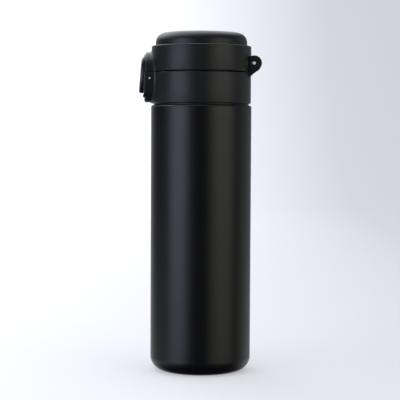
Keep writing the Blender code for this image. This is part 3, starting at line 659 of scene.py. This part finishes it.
def liner_skin():
    """The steel liner that holds the drink, with its lip folded over the neck."""
    corner = 8.0 * MM
    wall = 0.4 * MM
    shoulder, neck = LIP_Z - 22.0 * MM, LIP_Z - 16.6 * MM
    lip_top = high_of("inner_vessel").z
    side_z = LINER_LOW + corner
    middle_z, dish_r, dish_z = LINER_LOW + 0.8 * MM, LINER_R * 0.35, LINER_LOW + 0.55 * MM
    outline = [(0.0, middle_z), (dish_r, dish_z)]
    outline += arc(LINER_R - corner, side_z, corner, -88, 0, 16)
    outline += rounded([
        (LINER_R, side_z, 0), (LINER_R, shoulder, 4 * MM), (MOUTH_R + 0.6 * MM, neck, 3 * MM),
        (MOUTH_R + 0.6 * MM, LIP_Z, 0),
    ], closed=False)[1:]
    outline += [(NECK_R, LIP_Z)] + arc(NECK_R - 0.4 * MM, lip_top - 0.4 * MM, 0.4 * MM, 0, 90, 6)
    outline += arc(MOUTH_R + 0.4 * MM, lip_top - 0.4 * MM, 0.4 * MM, 90, 180, 6)
    outline += rounded([
        (MOUTH_R, lip_top, 0), (MOUTH_R, neck - 0.2 * MM, 3 * MM),
        (LINER_R - wall, shoulder - 0.2 * MM, 4 * MM), (LINER_R - wall, side_z, 0),
    ], closed=False)[1:]
    outline += arc(LINER_R - corner, side_z, corner - wall, -4, -88, 15)
    outline += [(dish_r, dish_z + wall), (0.0, middle_z + wall)]
    worn(turned("liner_skin", outline), "brushed_steel", "flask", "inner_vessel")


def bottom_disc():
    """The welded bottom disc, pressed up round the hole that the bead closes."""
    edge_r, hole_r = RECESS_R - GAP, 0.7 * MM
    top = BOTTOM_Z + SHELL_WALL
    pressed_z = BOTTOM_Z + (BOTTOM_TOP - top)
    outline = rounded([
        (hole_r, pressed_z, 0), (3.4 * MM, pressed_z, 0.4 * MM), (4.2 * MM, BOTTOM_Z, 0.4 * MM),
        (edge_r, BOTTOM_Z, 0), (edge_r, top, 0), (4.6 * MM, top, 0.4 * MM),
        (3.9 * MM, BOTTOM_TOP, 0.4 * MM), (hole_r, BOTTOM_TOP, 0),
    ])
    worn(turned("bottom_disc", outline, MEDIUM_STEPS), "brushed_steel", "flask", "shell_bottom")


def base_cap_skin():
    """The ribbed rubber cap that covers the bottom."""
    cap_r, high = RECESS_R - 0.4 * MM, BOTTOM_Z - GAP
    first_r, ribs, rib_step = 4.0 * MM, 5, 3.2 * MM
    groove_z = BASE_LOW + 0.35 * MM
    outline = [(0.0, groove_z)]
    for i in range(ribs):
        r = first_r + rib_step * i
        outline += [(r, groove_z), (r + 0.3 * MM, BASE_LOW)]
        outline += [(r + 1.5 * MM, BASE_LOW), (r + 1.8 * MM, groove_z)]
    outline += [(cap_r - 0.6 * MM, BASE_LOW + 0.1 * MM), (cap_r, BASE_LOW + 0.6 * MM)]
    outline += [(cap_r, high), (0.0, high)]
    worn(turned("base_cap_skin", outline, MEDIUM_STEPS), "foot_rubber", "flask", "base_cap")


# ---- cap ----

def boss_ring(inset, x=0.0):
    return oval(BOSS_HALF_W - inset, BOSS_HALF_H - inset, BOSS_Z, x)


def boss(name, wall_r, front_x):
    """The oval boss: it flares out of the round wall and has a rounded front edge."""
    rings = [boss_ring(-BOSS_FLARE, BOSS_BACK)]
    sunk = 0.03 * MM  # the flare's thin edge ends just inside the wall
    for turn in (0, 18, 36, 54, 72, 90):
        lift, spread = rim(BOSS_FLARE, turn)
        rings.append([(-sqrt(wall_r ** 2 - y ** 2) - (lift - sunk), y, z) for _, y, z in boss_ring(-spread)])
    for turn in RIM_TURNS:
        inset, depth = rim(BOSS_ROUND, turn)
        rings.append(boss_ring(inset, front_x + depth))
    return lofted(name, rings)


def bail_seat(name):
    """The shallow recess that the lock bail lies in."""
    room = 0.4 * MM
    outline = arch(BAIL_HALF_W + room, BAIL_TOP + room, LOCK.z - 1.5 * MM)
    return prism(name, outline, CUT_FRONT_X, SEAT_X, "x")


def collar_bore():
    """What the collar's bore and the hole in its plate take away, with a chamfer at both ends."""
    bore_r, hole_r, chamfer, corner = COLLAR_BORE_R, COLLAR_HOLE_R, 0.3 * MM, 0.6 * MM
    outline = [(0.0, CUT_LOW_Z), (bore_r + chamfer, CUT_LOW_Z), (bore_r + chamfer, COLLAR_LOW)]
    outline += [(bore_r, COLLAR_LOW + chamfer)]
    outline += arc(bore_r - corner, PLATE_LOW - corner, corner, 0, 90, 6)
    outline += [(hole_r, PLATE_LOW), (hole_r, COLLAR_TOP - chamfer), (hole_r + chamfer, COLLAR_TOP)]
    outline += [(hole_r + chamfer, CUT_HIGH_Z), (0.0, CUT_HIGH_Z)]
    return turned("collar_bore", outline)


def cover_room():
    """What the collar leaves free for the cover."""
    room_r = COVER_R + 0.35 * MM
    outline = [(0.0, COLLAR_TOP), (room_r, COLLAR_TOP), (room_r, CUT_HIGH_Z), (0.0, CUT_HIGH_Z)]
    return turned("cover_room", outline)


def button_pocket():
    """The oval well behind the push button."""
    well = oval(PAD_HALF_W + 0.5 * MM, PAD_HALF_H + 0.6 * MM, PAD_Z)
    return prism("pocket", [(y, z) for _, y, z in well], CUT_FRONT_X, POCKET_FLOOR_X, "x")


def collar_skin():
    """The collar with its plate, the hinge's ears and the lower half of the boss."""
    ring = turned("collar_skin", rounded([
        (0, COLLAR_LOW, 0), (COLLAR_R, COLLAR_LOW, 0.7 * MM),
        (COLLAR_R, COLLAR_TOP, 0.4 * MM), (0, COLLAR_TOP, 0),
    ], closed=False))
    web = rounded(moved_outline(WEB_OUTLINE, HINGE))
    web_half = HINGE_HALF - 0.08 * MM  # clear of the ears' own end faces
    joined = [prism("hinge_web", web, -web_half, web_half, "y", 0.35 * MM)]
    joined += both_sides("ear", HINGE, EAR_R, EAR_INNER, HINGE_HALF, 0.5 * MM, AXLE_STEPS)
    joined.append(boss("lower_boss", COLLAR_R, BOSS_FRONT_LOWER))
    removed = [
        collar_bore(), cover_room(), latch_side("above_boss", COLLAR_TOP, CUT_HIGH_Z),
        latch_side("below_boss", CUT_LOW_Z, COLLAR_LOW),
        rod("knuckle_room", HINGE, KNUCKLE_ROOM_R, -EAR_INNER, EAR_INNER, 0, AXLE_STEPS),
        pin_hole("ear_holes", HINGE, HINGE_PIN_R + HINGE_PIN_ROOM),
        *both_sides("ear_recess", HINGE, 2.0 * MM, HINGE_HALF - 0.9 * MM, CUT_HALF_Y),
        bail_seat("lower_seat"), button_pocket(),
    ]
    ring = solved(ring, joined, removed)
    barrel_half = BAIL_HALF_W - BAIL_WIDTH - 0.4 * MM
    barrel = rod("bail_barrel", LOCK, BAIL_EYE_R, -barrel_half, barrel_half, 0.15 * MM)
    rooms = [
        *both_sides("eye_room", LOCK, EYE_ROOM_R, barrel_half, BAIL_HALF_W + 2.0 * MM),
        pin_hole("bail_hole", LOCK, LOCK_PIN_R + LOCK_PIN_ROOM),
        pin_hole("pivot_holes", PIVOT, BUTTON_PIN_R + BUTTON_PIN_ROOM),
    ]
    worn(solved(ring, [barrel], rooms), "lid_plastic", "cap", "collar")


def thread_ring_skin():
    """The screw ring: its foot shows as a dark line between the collar and the body's shoulder."""
    low, high = low_of("thread_ring").z, high_of("thread_ring").z
    foot_r, foot_top = high_of("thread_ring").x, COLLAR_LOW - GAP
    outer_r = COLLAR_BORE_R - GAP
    ring = turned("thread_ring_skin", rounded([
        (THREAD_BORE_R, low, 0.15 * MM), (foot_r, low, 0.15 * MM), (foot_r, foot_top, 0.15 * MM),
        (outer_r, foot_top, 0), (outer_r, high, 0.2 * MM), (THREAD_BORE_R, high, 0.2 * MM),
    ]))
    crest_r = THREAD_BORE_R - THREAD_HEIGHT
    ridge = thread_ridge("ring_thread", THREAD_BORE_R, crest_r, THREAD_Z - THREAD_PITCH / 2, pi / 3)
    worn(solved(ring, joined=[ridge]), "spout_plastic", "cap", "thread_ring")


def spout_skin():
    """The drinking spout, its shoulder and the plug with the groove for the gasket."""
    flange_low, flange_top = LIP_Z + 1.2 * MM, PLATE_LOW - GAP
    flange_r, base_r = THREAD_BORE_R - 1.2 * MM, COLLAR_HOLE_R - 0.4 * MM
    plug_r = MOUTH_R - 0.8 * MM
    groove_r = plug_r - 1.7 * MM
    groove_low, groove_top = GASKET_LOW - 0.3 * MM, GASKET_TOP + 0.3 * MM
    bore_r, funnel_low, funnel_top = 21.2 * MM, 194.0 * MM, 197.6 * MM
    outline = rounded([
        (SPOUT_BORE_R, SPOUT_TOP, 1.2 * MM), (SPOUT_BORE_R + 3.05 * MM, SPOUT_TOP, 1.4 * MM),
        (SPOUT_R, SPOUT_TOP - 3.8 * MM, 1.0 * MM), (base_r - 1.0 * MM, SPOUT_TOP - 5.3 * MM, 1.2 * MM),
        (base_r, SPOUT_TOP - 6.8 * MM, 0.8 * MM), (base_r, flange_top, 0), (flange_r, flange_top, 0.2 * MM),
        (flange_r, flange_low, 0.2 * MM), (plug_r, flange_low, 0.3 * MM), (plug_r, groove_top, 0.1 * MM),
        (groove_r, groove_top, 0), (groove_r, groove_low, 0), (plug_r, groove_low, 0.1 * MM),
        (plug_r, SPOUT_LOW, 0.6 * MM), (bore_r, SPOUT_LOW, 0.3 * MM), (bore_r, funnel_low, 2.0 * MM),
        (SPOUT_BORE_R, funnel_top, 2.0 * MM),
    ])
    worn(turned("spout_skin", outline), "spout_plastic", "cap", "spout")


def gasket_skin():
    """A ring with two soft lips, in the plug's groove."""
    inner, outer = MOUTH_R - 2.2 * MM, MOUTH_R - 0.35 * MM
    web = outer - 0.9 * MM
    middle = (GASKET_LOW + GASKET_TOP) / 2
    side = [(web, 0.2, 0.1), (outer, 0.6, 0.12), (outer, 1.1, 0.12), (web, 1.6, 0.2), (inner, 1.6, 0.1)]
    outline = [(r, middle - rise * MM, radius * MM) for r, rise, radius in side[::-1]]
    outline += [(r, middle + rise * MM, radius * MM) for r, rise, radius in side]
    worn(turned("gasket_skin", rounded(outline, steps=3)), "seal_silicone", "seal_ring", "neck_gasket")


# ---- cover ----

def about(centre):
    """Turns a profile about an upright axis through a point."""
    return lambda x, y, height: (centre.x + x, centre.y + y, height)


def at_screws(name, outline):
    """The outline turned about the middle of each cover screw."""
    places = enumerate([(low_of(screw) + high_of(screw)) / 2 for screw in SCREWS], 1)
    return [turned(f"{name}_{i}", outline, SMALL_STEPS, about(place)) for i, place in places]


def cover_bore():
    """What the hollow under the cover's deck takes away, with a chamfer at its mouth."""
    bore_r, chamfer, corner = COVER_R - 2.1 * MM, 0.3 * MM, 0.8 * MM
    outline = [(0.0, CUT_LOW_Z), (bore_r + chamfer, CUT_LOW_Z), (bore_r + chamfer, COVER_LOW)]
    outline += [(bore_r, COVER_LOW + chamfer)]
    outline += arc(bore_r - corner, DECK_LOW - corner, corner, 0, 90, 6) + [(0.0, DECK_LOW)]
    return turned("cover_bore", outline)


def dome_seat():
    """What the seat of the dome takes away above the deck."""
    seat_r, chamfer = DOME_R + GAP, 0.2 * MM
    outline = [(0.0, DECK_TOP), (seat_r, DECK_TOP), (seat_r, LEDGE_Z - chamfer)]
    outline += [(seat_r + chamfer, LEDGE_Z), (seat_r + chamfer, CUT_HIGH_Z), (0.0, CUT_HIGH_Z)]
    return turned("dome_seat", outline)


def hinge_backing():
    """The thicker wall that carries the knuckles."""
    flat_x, half_w = 27.4 * MM, 12.0 * MM
    outline = arc(0.0, 0.0, COVER_R - MM, -23, 23, 25) + [(flat_x, half_w), (flat_x, -half_w)]
    return lofted("hinge_backing", [[(x, y, z) for x, y in outline] for z in (COVER_LOW, DECK_LOW + MM)])


def hinge_rooms():
    """What the ears, the spring and the pin need free in the cover."""
    room_r, room_half = EAR_R + 0.4 * MM, HINGE_HALF + 0.4 * MM
    leg_low = (HINGE.x - SPRING_COIL_R - 0.7 * MM, -KNUCKLE_INNER, HINGE.z)
    leg_high = (HINGE.x, -1.6 * MM, high_of("hinge_spring").z + 0.8 * MM)
    return [
        *both_sides("ear_room", HINGE, room_r, EAR_INNER - GAP, room_half, 0, AXLE_STEPS),
        rod("coil_room", HINGE, COIL_ROOM_R, -KNUCKLE_INNER, KNUCKLE_INNER),
        box("leg_slot", leg_low, leg_high),
        pin_hole("knuckle_holes", HINGE, HINGE_PIN_R + HINGE_PIN_ROOM),
    ]


def latch_rooms():
    """The recess for the bail, the window for the button's hook and the notch for the bail's lip."""
    window_half, notch_half = HOOK_HALF_W + 0.5 * MM, LIP_HALF_W + 0.4 * MM
    window_top = HOOK_LOW + HOOK_HEIGHT + 0.4 * MM
    window = box("hook_window", (CUT_FRONT_X, -window_half, HOOK_LOW - GAP),
                 (HOOK_TIP_X + 1.6 * MM, window_half, window_top))
    notch = box("lock_notch", (CUT_FRONT_X, -notch_half, BAIL_TOP - 1.5 * MM),
                (SEAT_X + 0.9 * MM, notch_half, BAIL_TOP + 0.1 * MM))
    return [bail_seat("upper_seat"), window, notch]


def screw_holes():
    """A stepped hole through the deck for each cover screw."""
    head_z = DECK_TOP - 1.5 * MM
    outline = [(0.0, CUT_LOW_Z), (SCREW_HOLE_R, CUT_LOW_Z), (SCREW_HOLE_R, head_z)]
    outline += [(SCREW_HEAD_ROOM_R, head_z), (SCREW_HEAD_ROOM_R, CUT_HIGH_Z), (0.0, CUT_HIGH_Z)]
    return at_screws("screw_hole", outline)


def cover_skin():
    """The flip cover's ring with its ledge, the upper half of the boss and the hinge knuckles."""
    shell = turned("cover_skin", rounded([
        (0, COVER_LOW, 0), (COVER_R, COVER_LOW, 0.4 * MM), (COVER_R, LEDGE_Z, 0.7 * MM), (0, LEDGE_Z, 0),
    ], closed=False))
    removed = [cover_bore(), dome_seat(), latch_side("below_cover", CUT_LOW_Z, COVER_LOW)]
    shell = solved(shell, [boss("upper_boss", COVER_R, BOSS_FRONT_UPPER)], removed)
    joined = [hinge_backing()]
    joined += both_sides("knuckle", HINGE, KNUCKLE_R, KNUCKLE_INNER, EAR_INNER - GAP, 0.3 * MM, AXLE_STEPS)
    removed = hinge_rooms() + latch_rooms() + screw_holes()
    worn(solved(shell, joined, removed), "lid_plastic", "cover", "cover_shell")


def dome_skin():
    """The crowned cap on top of the cover."""
    corner, crown, wall = 6.4 * MM, 0.8 * MM, 1.8 * MM
    round_r = DOME_R - 0.2 * MM - corner
    round_z = DOME_TOP - crown - corner
    foot_z, steps = DECK_TOP + GAP, 12
    outline = [(round_r * i / steps, DOME_TOP - crown * (i / steps) ** 2) for i in range(steps)]
    outline += arc(round_r, round_z, corner, 87, 0, 24)
    outline += [(DOME_R, LEDGE_Z), (DOME_R, foot_z), (DOME_R - wall, foot_z), (DOME_R - wall, LEDGE_Z)]
    outline += arc(round_r, round_z, corner - wall, 0, 86, 10)
    outline += [(0.0, DOME_TOP - wall)]
    worn(turned("dome_skin", outline), "lid_plastic", "cover", "cover_dome")


def liner_disc_skin():
    """The inside of the cover: a disc with the stem that carries the seal."""
    stem_low = low_of("cover_liner").z
    stem_r, lip_r, disc_r = 14.2 * MM, 15.3 * MM, high_of("cover_liner").x
    low, high = DECK_LOW - 2.0 * MM, DECK_LOW - GAP
    outline = rounded([
        (0, stem_low, 0), (lip_r, stem_low, 0.35 * MM), (lip_r, stem_low + 0.8 * MM, 0.1 * MM),
        (stem_r, stem_low + 0.8 * MM, 0), (stem_r, low, 0.3 * MM), (disc_r, low, 0.4 * MM),
        (disc_r, high, 0.2 * MM), (0, high, 0),
    ], closed=False)
    liner = turned("liner_disc_skin", outline, MEDIUM_STEPS)
    stub_low, stub_high = low_of("cover_screw_1").z - 1.4 * MM, high - 0.6 * MM
    stub_r, hole_low = 2.4 * MM, stub_low + MM
    stub = [(0, stub_low, 0), (stub_r, stub_low, 0.4 * MM), (stub_r, stub_high, 0), (0, stub_high, 0)]
    hole = [(0.0, hole_low), (SCREW_HOLE_R, hole_low), (SCREW_HOLE_R, CUT_HIGH_Z), (0.0, CUT_HIGH_Z)]
    joined = at_screws("stub", rounded(stub, closed=False))
    worn(solved(liner, joined, at_screws("stub_hole", hole)), "lid_plastic", "cover", "cover_liner")


def cover_seal_skin():
    """The silicone ring that closes the spout."""
    low, high = low_of("cover_seal").z, high_of("cover_seal").z
    stem_r, plug_r, flange_r = 14.5 * MM, SPOUT_BORE_R - GAP, high_of("cover_seal").x
    flange_low = SPOUT_TOP + GAP
    outline = rounded([
        (stem_r, low, 0.2 * MM), (plug_r, low, 0.5 * MM), (plug_r, flange_low, 0.2 * MM),
        (flange_r, flange_low, 0.3 * MM), (flange_r, high, 0.2 * MM), (stem_r, high, 0.2 * MM),
    ])
    worn(turned("cover_seal_skin", outline, MEDIUM_STEPS), "seal_silicone", "cover", "cover_seal")


# ---- hinge and latch ----

def pin_skins():
    """The three pins, with their ends slightly domed."""
    for node, axis, slot in (("hinge_pin", HINGE, "pin_steel"), ("button_pin", PIVOT, "pin_steel"),
                             ("lock_pin", LOCK, "spring_steel")):
        radius, half = high_of(node).z - axis.z, high_of(node).y
        worn(rod(f"{node}_skin", axis, radius, -half, half, 0.35 * radius), slot, "cap", node)


def hinge_spring_skins():
    """The torsion spring: its coil stays with the cap, and its upper leg goes with the cover."""
    radius, turns = 0.35 * MM, 5
    last = turns * COIL_STEPS + round(COIL_STEPS / 8)
    coil = []
    for i in range(last + 1):
        angle = pi + 2 * pi * i / COIL_STEPS
        y = SPRING_HALF * (2 * i / last - 1)
        coil.append(Vector((HINGE.x + SPRING_COIL_R * cos(angle), y, HINGE.z + SPRING_COIL_R * sin(angle))))
    leaving = Vector((-sin(angle), 0, cos(angle)))
    coil += [coil[-1] + leaving * reach * MM for reach in (1.0, 2.0, 2.9)]
    worn(wire("hinge_spring_coil", coil, radius), "spring_steel", "cap", "hinge_spring")
    top = high_of("hinge_spring").z - HINGE.z
    leg = [Vector((HINGE.x - SPRING_COIL_R, -SPRING_HALF, HINGE.z + top * i / 6)) for i in range(7)]
    worn(wire("hinge_spring_leg", leg, radius), "spring_steel", "cover")


def button_spring_skin():
    """The coil that pushes the button's foot out."""
    start_x, end_x = POCKET_FLOOR_X - 0.6 * MM, PAD_BACK_X + 0.6 * MM
    coil_z, coil_r, turns = 185.9 * MM, 1.6 * MM, 4
    last = turns * COIL_STEPS
    path = []
    for i in range(last + 1):
        angle = 2 * pi * i / COIL_STEPS
        x = start_x + (end_x - start_x) * i / last
        path.append(Vector((x, coil_r * cos(angle), coil_z + coil_r * sin(angle))))
    spring = worn(wire("button_spring_skin", path, 0.28 * MM), "spring_steel", "cap", "button_spring")
    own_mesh(spring)


def pad_ring(half_w, half_h, x):
    """A ring of the pad's front, leaning, and bowed back towards both sides."""
    ring = oval(half_w, half_h, PAD_Z, x, PAD_SLOPE)
    return [(x + PAD_BOW * (y / PAD_HALF_W) ** 2, y, z) for x, y, z in ring]


def button_skin():
    """The rocking push button: a leaning, bowed oval pad, the barrel on its pin and the hook."""
    rings = [oval(PAD_HALF_W - 0.5 * MM, PAD_HALF_H - 0.5 * MM, PAD_Z, PAD_BACK_X)]
    rings.append(oval(PAD_HALF_W, PAD_HALF_H, PAD_Z, PAD_BACK_X - 0.5 * MM, PAD_SLOPE * 0.1))
    for turn in RIM_TURNS:
        inset, depth = rim(PAD_ROUND, turn)
        rings.append(pad_ring(PAD_HALF_W - inset, PAD_HALF_H - inset, PAD_FRONT_X + depth))
    for share in (0.9, 0.75, 0.6, 0.45, 0.3, 0.15, 0.03):
        half_w, half_h = (PAD_HALF_W - PAD_ROUND) * share, (PAD_HALF_H - PAD_ROUND) * share
        rings.append(pad_ring(half_w, half_h, PAD_FRONT_X))
    pad = lofted("button_skin", rings)
    root_x, arm_half = PAD_BACK_X - 0.6 * MM, BARREL_HALF - 1.2 * MM
    arm = [(root_x, PIVOT.z - 2.0 * MM), (PIVOT.x, PIVOT.z - 1.4 * MM)]
    arm += [(PIVOT.x, PIVOT.z + 1.4 * MM), (root_x, PIVOT.z + 2.6 * MM)]
    hook_top = HOOK_LOW + HOOK_HEIGHT
    hook = [(root_x, HOOK_LOW), (HOOK_TIP_X, HOOK_LOW), (HOOK_TIP_X, HOOK_LOW + 0.6 * MM)]
    hook += [(HOOK_TIP_X - 1.9 * MM, hook_top), (root_x, hook_top)]
    joined = [
        rod("rocker_barrel", PIVOT, BARREL_R, -BARREL_HALF, BARREL_HALF, 0.2 * MM),
        prism("rocker_arm", arm, -arm_half, arm_half),
        prism("hook", hook, -HOOK_HALF_W, HOOK_HALF_W),
    ]
    hole = pin_hole("barrel_hole", PIVOT, BUTTON_PIN_R + BUTTON_PIN_ROOM)
    worn(solved(pad, joined, [hole]), "button_plastic", "button", "button")


def bail_skin():
    """The U-shaped lock bail, with a softened section, its eyes and its lip."""
    half, corner = BAIL_WIDTH / 2, 0.35 * MM
    path = [Vector((LOCK.x, y, z)) for y, z in arch(BAIL_HALF_W - half, BAIL_TOP - half, LOCK.z, 64)]
    square = ((-half, -half), (half, -half), (half, half), (-half, half))
    section = rounded([(u, v, corner) for u, v in square])
    rings = []
    for i, point in enumerate(path):
        forward = (path[min(i + 1, len(path) - 1)] - path[max(i - 1, 0)]).normalized()
        outward = forward.cross(Vector((1, 0, 0)))
        rings.append([point + Vector((u, 0, 0)) + outward * v for u, v in section])
    bail = lofted("bail_skin", rings)
    joined = both_sides("eye", LOCK, BAIL_EYE_R, BAIL_HALF_W - BAIL_WIDTH, BAIL_HALF_W, 0.25 * MM)
    back = LOCK.x + half
    joined.append(box("lock_lip", (back - 0.3 * MM, -LIP_HALF_W, BAIL_TOP - 1.1 * MM),
                      (SEAT_X + 0.5 * MM, LIP_HALF_W, BAIL_TOP - 0.3 * MM)))
    hole = pin_hole("eye_holes", LOCK, LOCK_PIN_R + LOCK_PIN_ROOM)
    worn(solved(bail, joined, [hole]), "button_plastic", "lock", "lock_bail")


def kept_nodes():
    """CAD nodes whose own shape stays get their finish."""
    kept = {"vacuum_seal": "solder_glass", "getter": "getter_metal", "radiation_shield": "copper_foil"}
    kept.update({screw: "pin_steel" for screw in SCREWS})
    for name, slot in kept.items():
        coloured(frame["nodes"][name], slot)


# ---- studio ----

def sweep_paper():
    """Matt paper with a painted glow, a little brighter on the left: its emission stands in for light from
    that side and lifts the shade round the flask.
    """
    paper = Finish("sweep_paper", (0.495, 0.50, 0.525), 0.9, specular=0.1)
    paper.tinted(1.2, 0.985, 1.01, 2.0)
    across = paper.nodes.new("ShaderNodeSeparateXYZ")
    paper.links.new(paper.place, across.inputs["Vector"])
    # painted light: the paper's emission glows from 0.55 on the left to 0.17 on the right
    painted_glow = map_range(paper.tree, across.outputs["X"], (-0.17, 0.30), (0.55, 0.17))
    paper.links.new(painted_glow.outputs["Result"], paper.shader.inputs["Emission Strength"])
    filled(paper.shader, {"Emission Color": (0.92, 0.94, 1.0, 1.0)})
    return paper


def sweep():
    """A pale floor that curves up into a backdrop far behind the flask."""
    half_w, near_y, bend_y, bend_r, top = 14.0, -14.0, 1.6, 0.9, 3.2
    outline = [(near_y, 0.0), (0.0, 0.0)]
    outline += arc(bend_y, bend_r, bend_r, -90, 0, 25)
    outline += [(bend_y + bend_r, top)]
    points = [(side * half_w, y, z) for y, z in outline for side in (-1, 1)]
    faces = [(i, i + 1, i + 3, i + 2) for i in range(0, len(points) - 2, 2)]
    mesh = bpy.data.meshes.new("sweep")
    mesh.from_pydata(points, [], faces)
    mesh.shade_smooth()
    floor = placed("sweep", mesh)
    mesh.materials.append(sweep_paper().material)
    floor.visible_glossy = False


def soft_light(name, azimuth, distance, height, size, strength, colour, target=(0, 0, 0.12)):
    """A soft box that faces the target. Azimuth 0 is the camera's side, and positive is to its right."""
    lamp = bpy.data.lights.new(name, "AREA")
    lamp.shape = "RECTANGLE"
    lamp.size, lamp.size_y = size
    lamp.energy = strength * pi * size[0] * size[1]
    lamp.color = colour
    obj = placed(name, lamp)
    turn = radians(azimuth)
    obj.location = (distance * sin(turn), -distance * cos(turn), height)
    aim = Vector(target) - obj.location
    obj.rotation_euler = aim.to_track_quat("-Z", "Y").to_euler()
    obj.visible_glossy = False


def lights():
    """Soft boxes for the matt surfaces and the shadow. Gloss sees the world's strips instead."""
    soft_light("left_box", -51, 0.95, 0.5, (0.6, 0.6), 1.3, (0.90, 0.94, 1.0))
    soft_light("right_box", 50, 0.95, 0.5, (0.8, 0.6), 0.8, (1.0, 0.99, 0.93))
    soft_light("top_box", 180, 0.25, 1.25, (1.1, 1.0), 0.5, (1.0, 1.0, 1.0))
    soft_light("left_wash", -150, 1.7, 1.3, (0.8, 0.8), 6.0, (0.97, 0.98, 1.0), (-0.9, 1.9, 0.2))


class Studio:
    """The world's nodes. A direction is a unit vector: +Y is behind the flask, -Y towards the camera."""

    def __init__(self):
        world = bpy.data.worlds.new("studio")
        bpy.context.scene.world = world
        world.use_nodes = True
        world.cycles.sampling_method = "NONE"
        self.tree = world.node_tree
        self.nodes, self.links = self.tree.nodes, self.tree.links
        self.nodes.clear()
        self.direction = self.nodes.new("ShaderNodeTexCoord").outputs["Generated"]

    def glow(self, towards, start, full, strength=1.0, low=0.0):
        """From low, where the cosine to the direction is under start, to strength, where it is over full."""
        dot = filled(self.nodes.new("ShaderNodeVectorMath"), {1: towards})
        dot.operation = "DOT_PRODUCT"
        self.links.new(self.direction, dot.inputs[0])
        ramp = map_range(self.tree, dot.outputs["Value"], (start, full), (low, strength))
        ramp.interpolation_type = "SMOOTHSTEP"
        return ramp.outputs["Result"]

    def strip(self, azimuth, full_width, whole_width, strength):
        """An upright strip of light round one azimuth, with soft sides. The widths are in degrees."""
        turn = radians(azimuth)
        start, full = cos(radians(whole_width / 2)), cos(radians(full_width / 2))
        return self.glow((sin(turn), -cos(turn), 0.0), start, full, strength)

    def product(self, first, second):
        node = self.nodes.new("ShaderNodeMath")
        node.operation = "MULTIPLY"
        self.links.new(first, node.inputs[0])
        self.links.new(second, node.inputs[1])
        return node.outputs["Value"]

    def background(self, colour, strength):
        node = filled(self.nodes.new("ShaderNodeBackground"), {"Color": (*colour, 1.0)})
        if isinstance(strength, float):
            filled(node, {"Strength": strength})
        else:
            self.links.new(strength, node.inputs["Strength"])
        return node.outputs["Background"]

    def together(self, *lights):
        """All the lights, each a colour and its strength, added up."""
        total, *others = [self.background(colour, strength) for colour, strength in lights]
        for shader in others:
            node = self.nodes.new("ShaderNodeAddShader")
            self.links.new(total, node.inputs[0])
            self.links.new(shader, node.inputs[1])
            total = node.outputs["Shader"]
        return total


def studio_world():
    """Pale to the eye and to matt surfaces. Gloss sees a dark room with strips, a pale wall and a floor."""
    room = Studio()
    upper = room.glow((0.0, 0.0, 1.0), -0.24, 0.05, 1.0, 0.24)
    left = room.product(room.strip(-52, 16, 59, 3.15), upper)
    right = room.product(room.strip(50, 26, 72, 1.35), upper)
    overhead = room.glow((-0.22, 0.42, 0.88), 0.58, 0.93, 3.1)
    wall = room.glow((-0.16, 0.987, 0.0), 0.74, 1.0, 0.60)
    right_side = room.strip(125, 20, 90, 0.26)
    behind = room.glow((-0.45, 0.893, 0.0), -0.55, 0.35)
    far_floor = room.product(room.glow((0.0, 0.0, -1.0), 0.02, 0.36, 0.75), behind)
    floor = room.product(far_floor, room.glow((0.0, 0.0, 1.0), -0.72, -0.22, 1.0, 0.02))
    seen = room.together(
        ((0.70, 0.76, 1.0), left), ((0.98, 1.0, 0.86), right), ((0.93, 0.96, 1.0), overhead),
        ((0.92, 0.94, 1.0), wall), ((0.96, 0.98, 1.0), right_side), ((0.95, 0.97, 1.0), floor),
        ((1.0, 1.0, 1.0), 0.012),
    )
    pick = room.nodes.new("ShaderNodeMixShader")
    paths = room.nodes.new("ShaderNodeLightPath")
    output = room.nodes.new("ShaderNodeOutputWorld")
    room.links.new(paths.outputs["Is Glossy Ray"], pick.inputs["Fac"])
    room.links.new(room.background((0.94, 0.955, 1.0), 0.86), pick.inputs[1])
    room.links.new(seen, pick.inputs[2])
    room.links.new(pick.outputs["Shader"], output.inputs["Surface"])


def camera():
    """The view of the photograph: a long lens at the height of the upper body, tipped down a little."""
    lens = bpy.data.cameras.new("camera")
    lens.sensor_width = 36.0
    lens.lens = 120.9
    lens.clip_start, lens.clip_end = 0.05, 20.0
    obj = placed("camera", lens)
    distance, height, down = 0.8865, 0.15895, 3.007
    pitch, roll, yaw = radians(90.0 - down), radians(0.2816), 0.0006
    turn = Matrix.Rotation(yaw, 4, "Z") @ Matrix.Rotation(pitch, 4, "X") @ Matrix.Rotation(roll, 4, "Z")
    obj.matrix_world = Matrix.Translation((0.0, -distance, height)) @ turn
    bpy.context.scene.camera = obj


body_skin()
liner_skin()
bottom_disc()
base_cap_skin()
collar_skin()
thread_ring_skin()
spout_skin()
gasket_skin()
cover_skin()
dome_skin()
liner_disc_skin()
cover_seal_skin()
pin_skins()
hinge_spring_skins()
button_spring_skin()
button_skin()
bail_skin()
kept_nodes()
sweep()
lights()
studio_world()
camera()
bpy.context.scene.view_settings.view_transform = "Standard"
